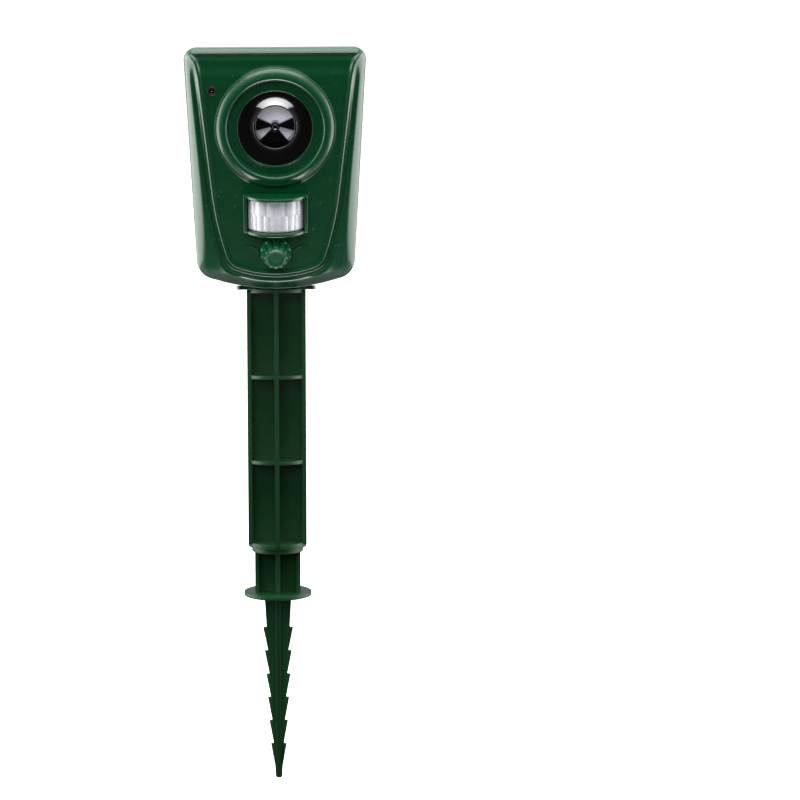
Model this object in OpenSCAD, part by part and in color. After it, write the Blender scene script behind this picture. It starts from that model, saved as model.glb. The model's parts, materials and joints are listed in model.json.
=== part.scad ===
// Ultrasonic pest repeller on a two-piece ground stake.
// Origin: centre of the ground flange's underside, on the stake's axis.
// +Z is up, +X is to the viewer's right, and the head faces -Y.

/* [Ground spike] */
// Diameter of the flange that stops on the soil
flange_d = 41; // [36:1:50]
// Thickness of the ground flange
flange_t = 2.2; // [1.5:0.1:3.5]
// Height of the stop ring's top face, where the upper stake sits down
stake_seat_z = 30; // [26:1:40]
// Width of the ribbed neck between the flange and the stop ring
neck_w = 27.4; // [24:0.2:28]
// Diameter of the stop ring
stop_ring_d = 31; // [28:0.5:33]
// Length of the spike below the flange
spike_len = 114; // [90:1:140]
// Number of barb steps on the spike
barb_count = 6; // [4:1:8]
// Half width of the spike's plate at its first barb
barb_half_w = 9.25; // [8:0.05:11]
// How far the first barb stands out past the plate below it
barb_step = 1.2; // [0.8:0.1:1.8]

/* [Upper stake] */
// Width and depth of the ribbed stake
stake_w = 35; // [32:0.5:38]
// Thickness of the web, the ribs and the round plates
rib_t = 2.6; // [2:0.1:3]
// Number of bays between the round plates
bay_count = 3; // [2:1:4]
// Height of the stake's top, where the head sits down
stake_top_z = 184.8; // [180:0.2:188]
// Height of the tenon that enters the head
tenon_h = 27; // [20:1:28]
// Width of the tenon
tenon_w = 26; // [22:1:26]
// Depth of the tenon
tenon_d = 16; // [12:1:16]

/* [Head] */
// Angle by which the front face leans forward
head_lean = 17; // [14:1:18]
// Y of the face plane where it crosses the face's reference height
face_y = -24; // [-25:0.5:-23]
// Face reference height
face_z = 190; // [189:0.5:191]
// Rounding radius of the housing's edges
edge_r = 7; // [6.5:0.5:7.5]
// Wall thickness of the shells
wall = 2.5; // [2:0.1:3]
// Y of the flat rear wall
rear_y = 21; // [20:0.5:22]
// Slope of the roof, falling to the rear
roof_slope = 5; // [3:1:6]
// Thickness of the roof frame
roof_t = 5.2; // [5:0.1:5.6]

/* [Speaker] */
// Distance up the face to the speaker's centre
speaker_v = 88.9; // [86:0.1:91]
// Outer radius of the round bezel
bezel_r = 33.6; // [32:0.1:35]
// Radius of the horn's mouth
horn_r = 20.4; // [19:0.1:20.6]
// Depth of the horn from the face
horn_depth = 11; // [10.5:0.5:12]
// Radius of the horn's throat
throat_r = 11.2; // [10.8:0.1:11.4]

/* [Motion sensor] */
// Distance up the face to the window's middle
window_v = 40.6; // [40:0.1:41]
// Half width of the window
window_half_w = 16.3; // [15.5:0.1:16.5]
// Height of the window
window_h = 19.4; // [18:0.1:20]
// How far the visor stands out from the face
visor_out = 17.3; // [15:0.1:18]
// How far the lower lip stands out from the face
lip_out = 12.5; // [11:0.1:14]
// How far the lens bulges out of the face
lens_out = 8.6; // [7:0.1:9]

/* [Knob] */
// Distance up the face to the knob's axis
knob_v = 17.4; // [17:0.1:17.8]
// Radius of the knob at the face
knob_base_r = 9.2; // [8.5:0.1:9.3]
// Radius of the knob's front
knob_top_r = 6.4; // [5.8:0.1:7]
// Height of the knob
knob_h = 13.6; // [12:0.1:14.5]

/* [Batteries] */
// Diameter of one AA cell
cell_d = 14.5; // [14:0.1:14.5]
// Length of one AA cell
cell_len = 50.5; // [50:0.1:50.5]
// Number of cells
cell_count = 3; // [3:1:3]

/* [Hidden] */
$fn = 64;

gap = 0.3;
eps = 0.01;
round_fn = 28;
// Where parts seat against the shells' inner faces, just clear of them
inner_n = -wall - 0.1;
inner_y = rear_y - wall - 0.1;

// Face frame: x to the right, y up the face, z out of it
module at_face(v = 0) {
    translate([0, face_y, face_z])
        rotate([90 + head_lean, 0, 0])
            translate([0, v, 0])
                children();
}

// Row-frame point of a place on the face, x right, v up the face, n out of it
function face_point(x, v, n) = [
    x,
    face_y - v * sin(head_lean) - n * cos(head_lean),
    face_z + v * cos(head_lean) - n * sin(head_lean)
];

// Centres of the rounding spheres of the housing
top_half_w = 43.7;
top_v = 126.2;
corner_x = 34.2;
corner_v = 11;
corner_r = 5;
bottom_v = 0.5;
bottom_arc_r = 107;
bottom_z = 185.5;
rear_taper = 0.94;
front_top = face_point(0, top_v, -edge_r);
roof_len = (rear_y - edge_r - front_top[1]) / cos(roof_slope);
rear_top_z = front_top[2] - roof_len * sin(roof_slope);
function arc_rise(x) = x * x / (2 * bottom_arc_r);

bottom_xs = [-24, -12, 0, 12, 24];
corner_angles = [0, -30, -60, -90];

// Housing as one rounded wedge; r is the edge radius less the inset
module head_form(r) {
    hull() {
        at_face() {
            for (side = [-1, 1]) {
                translate([side * top_half_w, top_v, -edge_r]) sphere(r, $fn = round_fn);
                for (a = corner_angles)
                    translate([
                        side * (corner_x + corner_r * cos(a)), corner_v + corner_r * sin(a), -edge_r
                    ])
                        sphere(r, $fn = round_fn);
            }
            for (x = bottom_xs)
                translate([x, bottom_v + arc_rise(x), -edge_r]) sphere(r, $fn = round_fn);
        }
        for (side = [-1, 1]) {
            translate([side * top_half_w * rear_taper, rear_y - edge_r, rear_top_z])
                sphere(r, $fn = round_fn);
            for (a = corner_angles)
                translate([
                    side * (corner_x + corner_r * cos(a)) * rear_taper,
                    rear_y - edge_r,
                    bottom_z + edge_r + arc_rise(corner_x) + corner_r * (1 + sin(a))
                ])
                    sphere(r, $fn = round_fn);
        }
        for (x = bottom_xs)
            translate([x * rear_taper, rear_y - edge_r, bottom_z + edge_r + arc_rise(x)])
                sphere(r, $fn = round_fn);
    }
}

big = 400;

// Roof frame: origin on the roof's surface above the front spheres, y to the rear
module at_roof() {
    translate([0, front_top[1], front_top[2]])
        rotate([-roof_slope, 0, 0])
            translate([0, 0, edge_r])
                children();
}

// Everything below a plane that lies the given depth under the roof
module below_roof(depth) {
    at_roof() translate([-big / 2, -big / 2, -depth - big]) cube(big);
}

// Split frame: its plane parts the front shell from the rear shell
split_y = -2;
split_lean = 10;
seal_t = 1;
module at_split() {
    translate([0, split_y, face_z]) rotate([split_lean, 0, 0]) children();
}
module front_of_split(offset_y) {
    at_split() translate([-big / 2, offset_y - big, -big / 2]) cube(big);
}
module rear_of_split(offset_y) {
    at_split() translate([-big / 2, offset_y, -big / 2]) cube(big);
}

// A flat box given by its middle in x and y, its size and its z span
module slab(w, d, z0, z1) {
    translate([-w / 2, -d / 2, z0]) cube([w, d, z1 - z0]);
}

// A slab with round upright corners
module round_slab(w, d, z0, z1, r) {
    slab(w - 2 * r, d, z0, z1);
    slab(w, d - 2 * r, z0, z1);
    for (sx = [-1, 1])
        for (sy = [-1, 1])
            translate([sx * (w / 2 - r), sy * (d / 2 - r), z0]) cylinder(h = z1 - z0, r = r);
}

// ---------- U-shaped bead on the face ----------

// The bead's right half: each station is a place and its heading from straight down
u_top = [43.4, 128];
u_heading = 5.8;
u_straight = 75.4;
u_side_r = 188;
u_side_end = 18;
u_corner_r = 9;
u_corner_end = 70;
function turn(p, r, h0, h1) = [
    p[0] - r * (cos(h0) - cos(h1)),
    p[1] - r * (sin(h1) - sin(h0))
];
u_a = u_top - u_straight * [sin(u_heading), cos(u_heading)];
u_b = turn(u_a, u_side_r, u_heading, u_side_end);
u_c = turn(u_b, u_corner_r, u_side_end, u_corner_end);
u_base_r = u_c[0] / cos(u_corner_end);
function stations() = concat(
    [[u_top, u_heading]],
    [for (k = [0:4]) let (h = u_heading + (u_side_end - u_heading) * k / 5)
        [turn(u_a, u_side_r, u_heading, h), h]],
    [for (k = [0:5]) let (h = u_side_end + (u_corner_end - u_side_end) * k / 6)
        [turn(u_b, u_corner_r, u_side_end, h), h]],
    [for (k = [0:5]) let (h = u_corner_end + (90 - u_corner_end) * k / 6)
        [turn(u_c, u_base_r, u_corner_end, h), h]]
);
function u_half(d) = [for (s = stations()) s[0] + d * [cos(s[1]), -sin(s[1])]];
function mirrored(points) = [for (i = [len(points) - 1:-1:0]) [-points[i][0], points[i][1]]];
function u_outline(d) = concat(
    u_half(d),
    [[0, turn(u_c, u_base_r, u_corner_end, 90)[1] - d]],
    mirrored(u_half(d))
);

// A U-shaped strip between two distances from the bead's line
module u_strip(d_in, d_out, n0, n1) {
    at_face()
        translate([0, 0, n0])
            linear_extrude(n1 - n0)
                difference() {
                    polygon(u_outline(d_out));
                    polygon(u_outline(d_in));
                }
}

// ---------- Stake ----------

// Cross section of the stake: a web, a middle rib and two edge ribs
module ribbed_post(w, depth, edge_depth, t, z0, z1) {
    slab(w, t, z0, z1);
    slab(t, depth, z0, z1);
    for (side = [-1, 1])
        translate([side * (w - t) / 2, 0, 0]) slab(t, edge_depth, z0, z1);
}

prong_x0 = 3.2;
prong_x1 = 13;
prong_y0 = 1.7;
prong_y1 = 6;
prong_h = 27;
neck_edge_depth = 14;
shaft_top_half_w = 8.3;
barb_first_z = -20.3;
tip_half_w = 2.1;

barb_pitch = (spike_len + barb_first_z) / (barb_count + 0.48);
function plate_half_w(z) =
    shaft_top_half_w + (tip_half_w - shaft_top_half_w) * -z / spike_len;

// Right-hand outline of the spike's plate, stepped by its barbs
function barb_points() = [
    for (i = [0:barb_count - 1])
        let (z = barb_first_z - barb_pitch * i, fade = 1 - 0.06 * i)
            each [
                [plate_half_w(z) - 0.1, z],
                [plate_half_w(z) + barb_step * fade + 0.75, z],
                [plate_half_w(z - barb_pitch) - 0.1, z - barb_pitch + 0.5]
            ]
];
function spike_outline() = concat(
    [[0, 0], [barb_half_w - 1, 0]],
    barb_points(),
    [[tip_half_w, -spike_len + 1], [tip_half_w - 1, -spike_len], [0, -spike_len]]
);

module ground_spike() {
    color("#1f3d2b") {
        cylinder(h = flange_t, d = flange_d);
        ribbed_post(neck_w, neck_w, neck_edge_depth, rib_t, flange_t - eps, stake_seat_z - 2);
        translate([0, 0, stake_seat_z - 3]) cylinder(h = 3, d = stop_ring_d);
        for (side = [-1, 1])
            translate([side * (prong_x0 + prong_x1) / 2, (prong_y0 + prong_y1) / 2, 0])
                slab(prong_x1 - prong_x0, prong_y1 - prong_y0, stake_seat_z - 1, stake_seat_z + prong_h);
        // Barbed plate across X
        rotate([90, 0, 0])
            translate([0, 0, -rib_t / 2])
                linear_extrude(rib_t)
                    polygon(concat(spike_outline(), mirrored(spike_outline())));
        // Plain tapered plate across Y
        rotate([90, 0, 90])
            translate([0, 0, -rib_t / 2])
                linear_extrude(rib_t)
                    polygon([
                        [-shaft_top_half_w, eps], [shaft_top_half_w, eps],
                        [tip_half_w, -spike_len + 1], [-tip_half_w, -spike_len + 1]
                    ]);
    }
}

plate_t = 2;
edge_rib_depth = 17;
strap_z0 = 40;
strap_h = 10;

module upper_stake() {
    bay = (stake_top_z - plate_t - stake_seat_z) / bay_count;
    color("#1f3d2b")
        difference() {
            union() {
                // The ribs stop in the thicker bottom disc, which shows whole below them
                ribbed_post(
                    stake_w, stake_w, edge_rib_depth, rib_t,
                    stake_seat_z + plate_t, stake_top_z
                );
                for (i = [0:bay_count])
                    translate([0, 0, stake_seat_z + bay * i]) cylinder(h = plate_t, d = stake_w);
                translate([0, 0, stake_seat_z]) cylinder(h = plate_t + 1, d = stake_w);
                round_slab(tenon_w, tenon_d, stake_top_z - eps, stake_top_z + tenon_h, 2);
                // Strap that keeps the spike's prongs against the web
                translate([0, prong_y1 + gap + 1, 0])
                    slab(stake_w - 1, 2, strap_z0, strap_z0 + strap_h);
            }
            // Pockets for the prongs
            for (side = [-1, 1])
                translate([side * (prong_x0 + prong_x1) / 2, (prong_y0 + prong_y1) / 2, 0])
                    slab(
                        prong_x1 - prong_x0 + 2 * gap, prong_y1 - prong_y0 + 2 * gap,
                        stake_seat_z - 1, stake_seat_z + prong_h + 1
                    );
        }
}

socket_wall = 2.3;
collar_w = 47;
collar_d = 26;
collar_t = 2.4;
socket_h = 31;

module stake_socket() {
    tube_w = tenon_w + 2 * (gap + socket_wall);
    tube_d = tenon_d + 2 * (gap + socket_wall);
    color("#2f6b47")
        difference() {
            union() {
                round_slab(collar_w, collar_d, stake_top_z, stake_top_z + collar_t, 3);
                round_slab(tube_w, tube_d, stake_top_z, stake_top_z + socket_h, 3);
                round_slab(tube_w + 5, tube_d + 4, stake_top_z + 7, stake_top_z + 9, 3);
            }
            round_slab(
                tenon_w + 2 * gap, tenon_d + 2 * gap,
                stake_top_z - 1, stake_top_z + tenon_h + 1, 2 + gap
            );
        }
}

// Room in the shells for the socket and its collar
module socket_room() {
    tube_w = tenon_w + 2 * (2 * gap + socket_wall);
    tube_d = tenon_d + 2 * (2 * gap + socket_wall);
    round_slab(collar_w + 2 * gap, collar_d + 2 * gap, bottom_z - 5, stake_top_z + collar_t + 0.1, 3);
    round_slab(tube_w, tube_d, bottom_z - 5, bottom_z + 20, 3);
}

// ---------- Shells ----------

// Housing screws: x, z and the y where each one's head seats
screw_places = [[35, 201, 12.4], [40.5, 301, -5]];
screw_r = 1.4;
boss_r = 4.4;

module screw_bosses(r, y0, y1) {
    for (place = screw_places)
        for (side = [-1, 1])
            translate([side * place[0], y0, place[1]])
                rotate([-90, 0, 0])
                    cylinder(h = y1 - y0, r = r);
}

// Deep recesses in which the housing screws' heads sit
module screw_recesses(r) {
    for (place = screw_places)
        for (side = [-1, 1])
            translate([side * place[0], place[2], place[1]])
                rotate([-90, 0, 0])
                    cylinder(h = rear_y + 1 - place[2], r = r);
}

led_x = -35.1;
led_v = 110.3;
led_hole_r = 2.35;
speaker_screw_r = 29.5;
speaker_screw_angles = [90, 210, 330];
board_hole_x = 26;
board_v0 = 4;
board_v1 = 58;
board_w = 60;
board_back_n = -13.5;
board_t = 1.6;
board_front_n = board_back_n + board_t;
board_hole_vs = [board_v0 + 5, board_v1 - 5];
bushing_r = 3.5;
shaft_r = 3;

module speaker_bosses(r, n0, n1) {
    at_face(speaker_v)
        for (a = speaker_screw_angles)
            rotate([0, 0, a])
                translate([speaker_screw_r, 0, n0])
                    cylinder(h = n1 - n0, r = r);
}

module board_bosses(r, n0, n1) {
    at_face()
        for (v = board_hole_vs)
            for (side = [-1, 1])
                translate([side * board_hole_x, v, n0])
                    cylinder(h = n1 - n0, r = r);
}

// Round bezel: a fat bead, a flat floor and a thin lip at the horn
bead_r = 3.6;
bead_mid = bezel_r - bead_r;
bead_rise = 0.8;
bezel_floor = 0.5;
bead_start = -25;
bead_steps = 14;
module speaker_bezel() {
    bead_sweep = 180 - 2 * bead_start;
    at_face(speaker_v)
        rotate_extrude()
            polygon(concat(
                [for (k = [0:bead_steps]) let (a = bead_start + bead_sweep * k / bead_steps)
                    [bead_mid + bead_r * cos(a), bead_rise + bead_r * sin(a)]],
                [
                    [horn_r + 1.4, bezel_floor], [horn_r + 1.4, bezel_floor + 0.6],
                    [horn_r + 0.6, bezel_floor + 0.6], [horn_r + 0.6, -1.2], [bead_mid + bead_r, -1.2]
                ]
            ));
}

// Radius of an arc with a half chord and a rise
function arc_r(half_chord, rise) = (half_chord * half_chord + rise * rise) / (2 * rise);

// A plate square to the face, bowed outward, from a chord on the face
module bowed_plate(half_chord, rise, v0, v1) {
    r = arc_r(half_chord, rise);
    at_face(v0)
        rotate([-90, 0, 0])
            linear_extrude(v1 - v0)
                intersection() {
                    translate([0, r - rise]) circle(r);
                    translate([-half_chord, -rise - 1]) square([2 * half_chord, rise + 2]);
                }
}

frame_t = 2.1;
frame_half_w = window_half_w + frame_t;
window_v0 = window_v - window_h / 2;
window_v1 = window_v + window_h / 2;
visor_t = 2;
post_out = 3.4;

module sensor_frame() {
    bowed_plate(frame_half_w, visor_out, window_v1, window_v1 + visor_t);
    bowed_plate(frame_half_w, lip_out, window_v0 - visor_t, window_v0);
    for (side = [-1, 1])
        at_face()
            translate([side * (window_half_w + frame_t / 2), window_v, 0])
                slab(frame_t, window_h + 2 * visor_t, -1, post_out);
}

// Small raised arcs on each side of the knob that show which way is more and less
module knob_marks() {
    at_face(knob_v)
        for (side = [-1, 1])
            translate([side * 14, 5.5, -0.5])
                rotate([0, 0, side > 0 ? 15 : 75])
                    rotate_extrude(angle = 90)
                        translate([3, 0]) square([0.9, 1.1]);
}

module front_shell() {
    color("#0e5230")
        difference() {
            union() {
                intersection() {
                    difference() {
                        head_form(edge_r);
                        head_form(edge_r - wall);
                    }
                    front_of_split(-seal_t / 2);
                    below_roof(roof_t + seal_t);
                }
                intersection() {
                    u_strip(-1, 0.6, -1, 0.9);
                    below_roof(roof_t + seal_t);
                }
                speaker_bezel();
                sensor_frame();
                knob_marks();
                speaker_bosses(3.2, -4.9, -wall + 0.5);
                board_bosses(2.8, board_front_n, -wall + 0.5);
                intersection() {
                    screw_bosses(3.4, -60, 0);
                    head_form(edge_r - wall + 0.5);
                    front_of_split(-seal_t / 2);
                }
            }
            u_strip(0.6, 3.2, -1, 3);
            at_face(speaker_v) translate([0, 0, -10]) cylinder(h = 20, r = horn_r + 0.6);
            at_face(window_v) slab(2 * window_half_w, window_h, -10, 1);
            at_face(led_v) translate([led_x, 0, -10]) cylinder(h = 20, r = led_hole_r);
            at_face(knob_v) translate([0, 0, -10]) cylinder(h = 20, r = bushing_r + 0.3);
            speaker_bosses(1.25, -6, -0.4);
            board_bosses(1.25, board_front_n - 1, -4);
            screw_bosses(screw_r + 0.05, -32, 0);
            socket_room();
        }
}

switch_x = -22;
switch_z = 213;
slot_w = 8.6;
slot_h = 4;
jack_x = 22;
jack_z = 213;
jack_r = 4;
hinge_z = jack_z + 8;
hinge_y = rear_y + 1.3;
ear_gap = 5;
ear_t = 1.3;
door_half_w = 42;
door_z0 = 228;
door_z1 = 283;
door_screw_x = 37.5;
door_mid_z = (door_z0 + door_z1) / 2;
hatch_half_w = 31;
hatch_h = 47;

module rear_shell() {
    color("#0e5230")
        difference() {
            union() {
                intersection() {
                    difference() {
                        head_form(edge_r);
                        head_form(edge_r - wall);
                    }
                    rear_of_split(seal_t / 2);
                    below_roof(roof_t + seal_t);
                }
                intersection() {
                    screw_bosses(boss_r, -60, rear_y - wall + 0.5);
                    rear_of_split(seal_t / 2);
                }
                for (side = [-1, 1])
                    translate([side * door_screw_x, rear_y - 14, door_mid_z])
                        rotate([-90, 0, 0])
                            cylinder(h = 12, r = 3.4);
                // Ears that carry the jack cover's hinge
                for (side = [-1, 1])
                    translate([jack_x + side * (ear_gap + ear_t) / 2, 0, 0])
                        hinge_ear();
            }
            screw_bosses(screw_r + 0.3, -60, rear_y);
            screw_recesses(3.3);
            // Battery hatch
            translate([0, rear_y - wall / 2, door_mid_z])
                rotate([90, 0, 0])
                    slab(2 * hatch_half_w, hatch_h, -wall, wall);
            for (side = [-1, 1])
                translate([side * door_screw_x, rear_y - 15, door_mid_z])
                    rotate([-90, 0, 0])
                        cylinder(h = 16, r = screw_r + 0.05);
            // Slot of the power switch
            translate([switch_x, rear_y - wall / 2, switch_z])
                rotate([90, 0, 0])
                    slab(slot_w, slot_h, -wall, wall);
            // Hole of the power jack
            translate([jack_x, rear_y - wall - 1, jack_z])
                rotate([-90, 0, 0])
                    cylinder(h = wall + 2, r = jack_r + 0.2);
            translate([jack_x, 0, 0]) hinge_pin(axle_r + 0.05, ear_gap + 2 * ear_t + 2);
            socket_room();
        }
}

axle_r = 0.7;
module hinge_pin(r, length) {
    translate([-length / 2, hinge_y, hinge_z]) rotate([0, 90, 0]) cylinder(h = length, r = r);
}
module hinge_ear() {
    translate([-ear_t / 2, hinge_y, hinge_z]) rotate([0, 90, 0]) cylinder(h = ear_t, r = 1.7);
    translate([-ear_t / 2, rear_y - 1, hinge_z - 1.7]) cube([ear_t, hinge_y - rear_y + 1, 3.4]);
}

module shell_gasket() {
    color("#1a1a1a")
        difference() {
            intersection() {
                difference() {
                    head_form(edge_r - 0.6);
                    head_form(edge_r - wall + 0.5);
                }
                rear_of_split(-seal_t / 2);
                front_of_split(seal_t / 2);
                below_roof(roof_t + seal_t);
            }
            socket_room();
        }
}

// ---------- Roof ----------

panel_w = 80;
panel_len = 62;
panel_y = roof_len / 2;
panel_depth = 3;
board_thick = 1.4;
cell_thick = 0.4;

tab_t = 1.6;
tab_h = 3;
module roof_frame() {
    color("#0e5230")
        difference() {
            union() {
                intersection() {
                    head_form(edge_r);
                    at_roof() slab(big, big, -roof_t, edge_r);
                }
                // Tabs that clip inside the shells
                at_roof()
                    translate([0, panel_y, 0]) {
                        for (side = [-1, 1]) {
                            translate([side * top_half_w * rear_taper, 0, 0])
                                slab(tab_t, panel_len - 20, -roof_t - tab_h, -roof_t + 0.5);
                            translate([0, side * (roof_len / 2 + 1), 0])
                                slab(panel_w - 20, tab_t, -roof_t - tab_h, -roof_t + 0.5);
                        }
                    }
            }
            at_roof()
                translate([0, panel_y, 0])
                    slab(panel_w + 2 * gap, panel_len + 2 * gap, -panel_depth, edge_r);
            at_roof() translate([0, panel_y, -roof_t - 2]) cylinder(h = roof_t, r = 3);
        }
}

module roof_gasket() {
    color("#1a1a1a")
        difference() {
            intersection() {
                head_form(edge_r - 0.6);
                below_roof(roof_t);
            }
            below_roof(roof_t + seal_t);
            head_form(edge_r - wall + 0.5);
        }
}

module solar_board() {
    color("#20305a")
        at_roof()
            translate([0, panel_y, 0])
                difference() {
                    slab(panel_w, panel_len, -panel_depth, -panel_depth + board_thick);
                    for (side = [-1, 1])
                        translate([0, side * 1.5, -panel_depth - 1]) cylinder(h = 3, r = 0.7);
                }
}

// Rows of cells side by side on the board
cell_cols = 6;
module solar_cells() {
    pitch = (panel_w - 6) / cell_cols;
    color("#141c38")
        at_roof()
            translate([0, panel_y, -panel_depth + board_thick])
                for (i = [0:cell_cols - 1])
                    translate([(i - (cell_cols - 1) / 2) * pitch, 0, 0])
                        slab(pitch - 0.8, panel_len - 6, 0, cell_thick);
}

module solar_cover() {
    color("#c8d2dc", 0.4)
        at_roof()
            translate([0, panel_y, 0])
                difference() {
                    slab(panel_w, panel_len, -panel_depth + board_thick, -0.3);
                    slab(
                        panel_w - 5, panel_len - 5,
                        -panel_depth, -panel_depth + board_thick + cell_thick
                    );
                }
}

// ---------- Speaker ----------

gasket_t = 0.6;
flange_n = inner_n - gasket_t;
flange_thick = 1.8;
can_r = 23.2;
can_back_n = -26;

// Horn wall: a quarter-ellipse flare, given at t from mouth (0) to throat (1)
function flare(t, out) = [
    horn_r - (horn_r - throat_r) * sin(90 * t) + out,
    -0.8 - (horn_depth - 0.8) * (1 - cos(90 * t))
];
flare_steps = 10;
module speaker_horn() {
    color("#0a0a0c")
        at_face(speaker_v)
            rotate_extrude()
                polygon(concat(
                    [for (k = [0:flare_steps]) flare(k / flare_steps, 0)],
                    [[throat_r, -horn_depth - 3.6], [throat_r + 1.4, -horn_depth - 3.6]],
                    [[throat_r + 1.4, -horn_depth - 1]],
                    [[horn_r - 2, flange_n - flange_thick - 1.5]],
                    [[horn_r - 0.2, flange_n - flange_thick]],
                    [[24.6, flange_n - flange_thick], [24.6, flange_n]],
                    [[horn_r + 0.4, flange_n], [horn_r + 0.4, -0.8]]
                ));
}

plug_r = 2.7;
plug_top_n = -2.9;
vane_front_n = -8.6;
// Angle of each vane's middle and its half width
vanes = [[4, 19], [176, 19], [267, 43]];
module phase_plug() {
    base_n = -horn_depth - 1;
    vane_back_n = base_n + 0.3;
    hub_n = plug_top_n - plug_r;
    color("#0a0a0c")
        at_face(speaker_v) {
            rotate([0, 0, 90]) {
                translate([0, 0, hub_n]) sphere(plug_r);
                translate([0, 0, base_n]) cylinder(h = hub_n - base_n, r = plug_r);
                difference() {
                    translate([0, 0, base_n - 1]) cylinder(h = 1.6, r = throat_r - 0.1);
                    translate([0, 0, base_n - 2]) cylinder(h = 4, r = throat_r - 1.2);
                }
            }
            for (vane = vanes)
                rotate([0, 0, vane[0] - vane[1]])
                    rotate_extrude(angle = 2 * vane[1])
                        polygon([
                            [1, vane_back_n], [throat_r - 0.2, vane_back_n],
                            [throat_r - 0.2, vane_front_n], [1, hub_n]
                        ]);
        }
}

module speaker_diaphragm() {
    color("#b9bcc2")
        at_face(speaker_v)
            translate([0, 0, -horn_depth - 3.4]) {
                cylinder(h = 0.8, r = throat_r - 0.1);
                translate([0, 0, 0.6]) cylinder(h = 0.8, r1 = 7, r2 = 4);
            }
}

module piezo_disc() {
    color("#c9a24a")
        at_face(speaker_v)
            translate([0, 0, -horn_depth - 4.4]) {
                cylinder(h = 0.4, r = 13.5);
                translate([0, 0, 0.4]) cylinder(h = 0.3, r = 9);
            }
}

ear_n = flange_n - flange_thick;
module speaker_can() {
    color("#17171a")
        difference() {
            union() {
                at_face(speaker_v) {
                    translate([0, 0, can_back_n]) cylinder(h = ear_n - can_back_n, r = can_r);
                    translate([0, 0, ear_n - 1.8]) cylinder(h = 1.8, r = 26);
                }
                speaker_bosses(3.6, ear_n - 1.8, ear_n);
            }
            at_face(speaker_v) {
                translate([0, 0, can_back_n + 2]) cylinder(h = 40, r = can_r - 1.8);
                translate([0, 0, can_back_n - 1]) cylinder(h = 4, r = 2);
            }
            speaker_bosses(1.35, ear_n - 3, ear_n + 1);
        }
}

module speaker_gasket() {
    color("#1a1a1a")
        at_face(speaker_v)
            translate([0, 0, flange_n])
                difference() {
                    cylinder(h = gasket_t, r = 24.6);
                    translate([0, 0, -1]) cylinder(h = 3, r = horn_r + 0.9);
                }
}

// A pan-head screw standing on z = 0 with its shank pointing up
module screw(r, length, head_r, head_t) {
    cylinder(h = length, r = r);
    translate([0, 0, -head_t])
        difference() {
            cylinder(h = head_t, r = head_r);
            for (a = [0, 90])
                rotate([0, 0, a]) slab(head_r * 1.1, 0.6, -1, head_t * 0.45);
        }
}

module speaker_screws() {
    color("#b8b8b8")
        at_face(speaker_v)
            for (a = speaker_screw_angles)
                rotate([0, 0, a])
                    translate([speaker_screw_r, 0, ear_n - 1.8])
                        screw(1.2, 5.6, 2.4, 1.6);
}

// ---------- Motion sensor ----------

lens_half_w = window_half_w - 0.2;
lens_t = 1;
lens_flange_t = 1.2;
module pir_lens() {
    r = arc_r(lens_half_w, lens_out);
    rim_v = window_h + 3;
    color("#dfe2ee")
        difference() {
            union() {
                at_face(window_v0 + 0.2)
                    rotate([-90, 0, 0])
                        linear_extrude(window_h - 0.4)
                            difference() {
                                intersection() {
                                    translate([0, r - lens_out]) circle(r);
                                    translate([-lens_half_w, -lens_out - 1])
                                        square([2 * lens_half_w, lens_out + 1 + wall + 0.5]);
                                }
                                intersection() {
                                    translate([0, r - lens_out]) circle(r - lens_t);
                                    translate([-lens_half_w + lens_t, -lens_out - 1])
                                        square([2 * (lens_half_w - lens_t), lens_out + 8]);
                                }
                            }
                at_face(window_v)
                    slab(2 * window_half_w + 4, rim_v, inner_n - lens_flange_t, inner_n);
            }
            at_face(window_v)
                slab(2 * (lens_half_w - lens_t), window_h - 2.4, -wall - 3, inner_n + 0.05);
        }
}

module pir_retainer() {
    color("#17171a")
        at_face(window_v)
            difference() {
                slab(
                    2 * window_half_w + 5, window_h + 3,
                    inner_n - lens_flange_t - 1.8, inner_n - lens_flange_t
                );
                slab(2 * window_half_w - 4, window_h - 4, -wall - 4, -wall);
            }
}

module pir_sensor() {
    color("#c0c2c6")
        at_face(window_v)
            difference() {
                union() {
                    translate([0, 0, board_front_n]) cylinder(h = 0.6, r = 4.7);
                    translate([0, 0, board_front_n]) cylinder(h = 4.4, r = 4.1);
                }
                slab(4, 3, board_front_n + 4, board_front_n + 5);
            }
}

module led_holder() {
    color("#101010")
        at_face(led_v)
            translate([led_x, 0, 0])
                difference() {
                    union() {
                        translate([0, 0, -5]) cylinder(h = 5.3, r = led_hole_r - 0.1);
                        translate([0, 0, inner_n - 1.8]) cylinder(h = 1.8, r = 2.9);
                    }
                    translate([0, 0, -6]) cylinder(h = 8, r = 1.6);
                }
}

module indicator_led() {
    color("#5a1414")
        at_face(led_v)
            translate([led_x, 0, 0]) {
                translate([0, 0, -5.6]) cylinder(h = 4.2, r = 1.5);
                translate([0, 0, -1.4]) sphere(1.5);
                translate([0, 0, -6.6]) cylinder(h = 1.1, r = 1.9);
            }
}

// ---------- Knob ----------

flute_count = 12;
knob_bottom_n = 0.8;
module sensitivity_knob() {
    flute_tilt = atan((knob_base_r - knob_top_r) / knob_h);
    color("#14593a")
        at_face(knob_v)
            difference() {
                translate([0, 0, knob_bottom_n])
                    cylinder(h = knob_h - knob_bottom_n, r1 = knob_base_r, r2 = knob_top_r);
                for (i = [0:flute_count - 1])
                    rotate([0, 0, 360 / flute_count * (i + 0.5)])
                        translate([knob_base_r + 0.1, 0, 3])
                            rotate([0, -flute_tilt, 0])
                                cylinder(h = knob_h, r = 1.1);
                translate([0, 0, -1]) cylinder(h = 11, r = shaft_r + 0.04);
            }
}

module pot_shaft() {
    color("#9a9a9e")
        at_face(knob_v) translate([0, 0, -9.6]) cylinder(h = 19.4, r = shaft_r);
}

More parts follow.
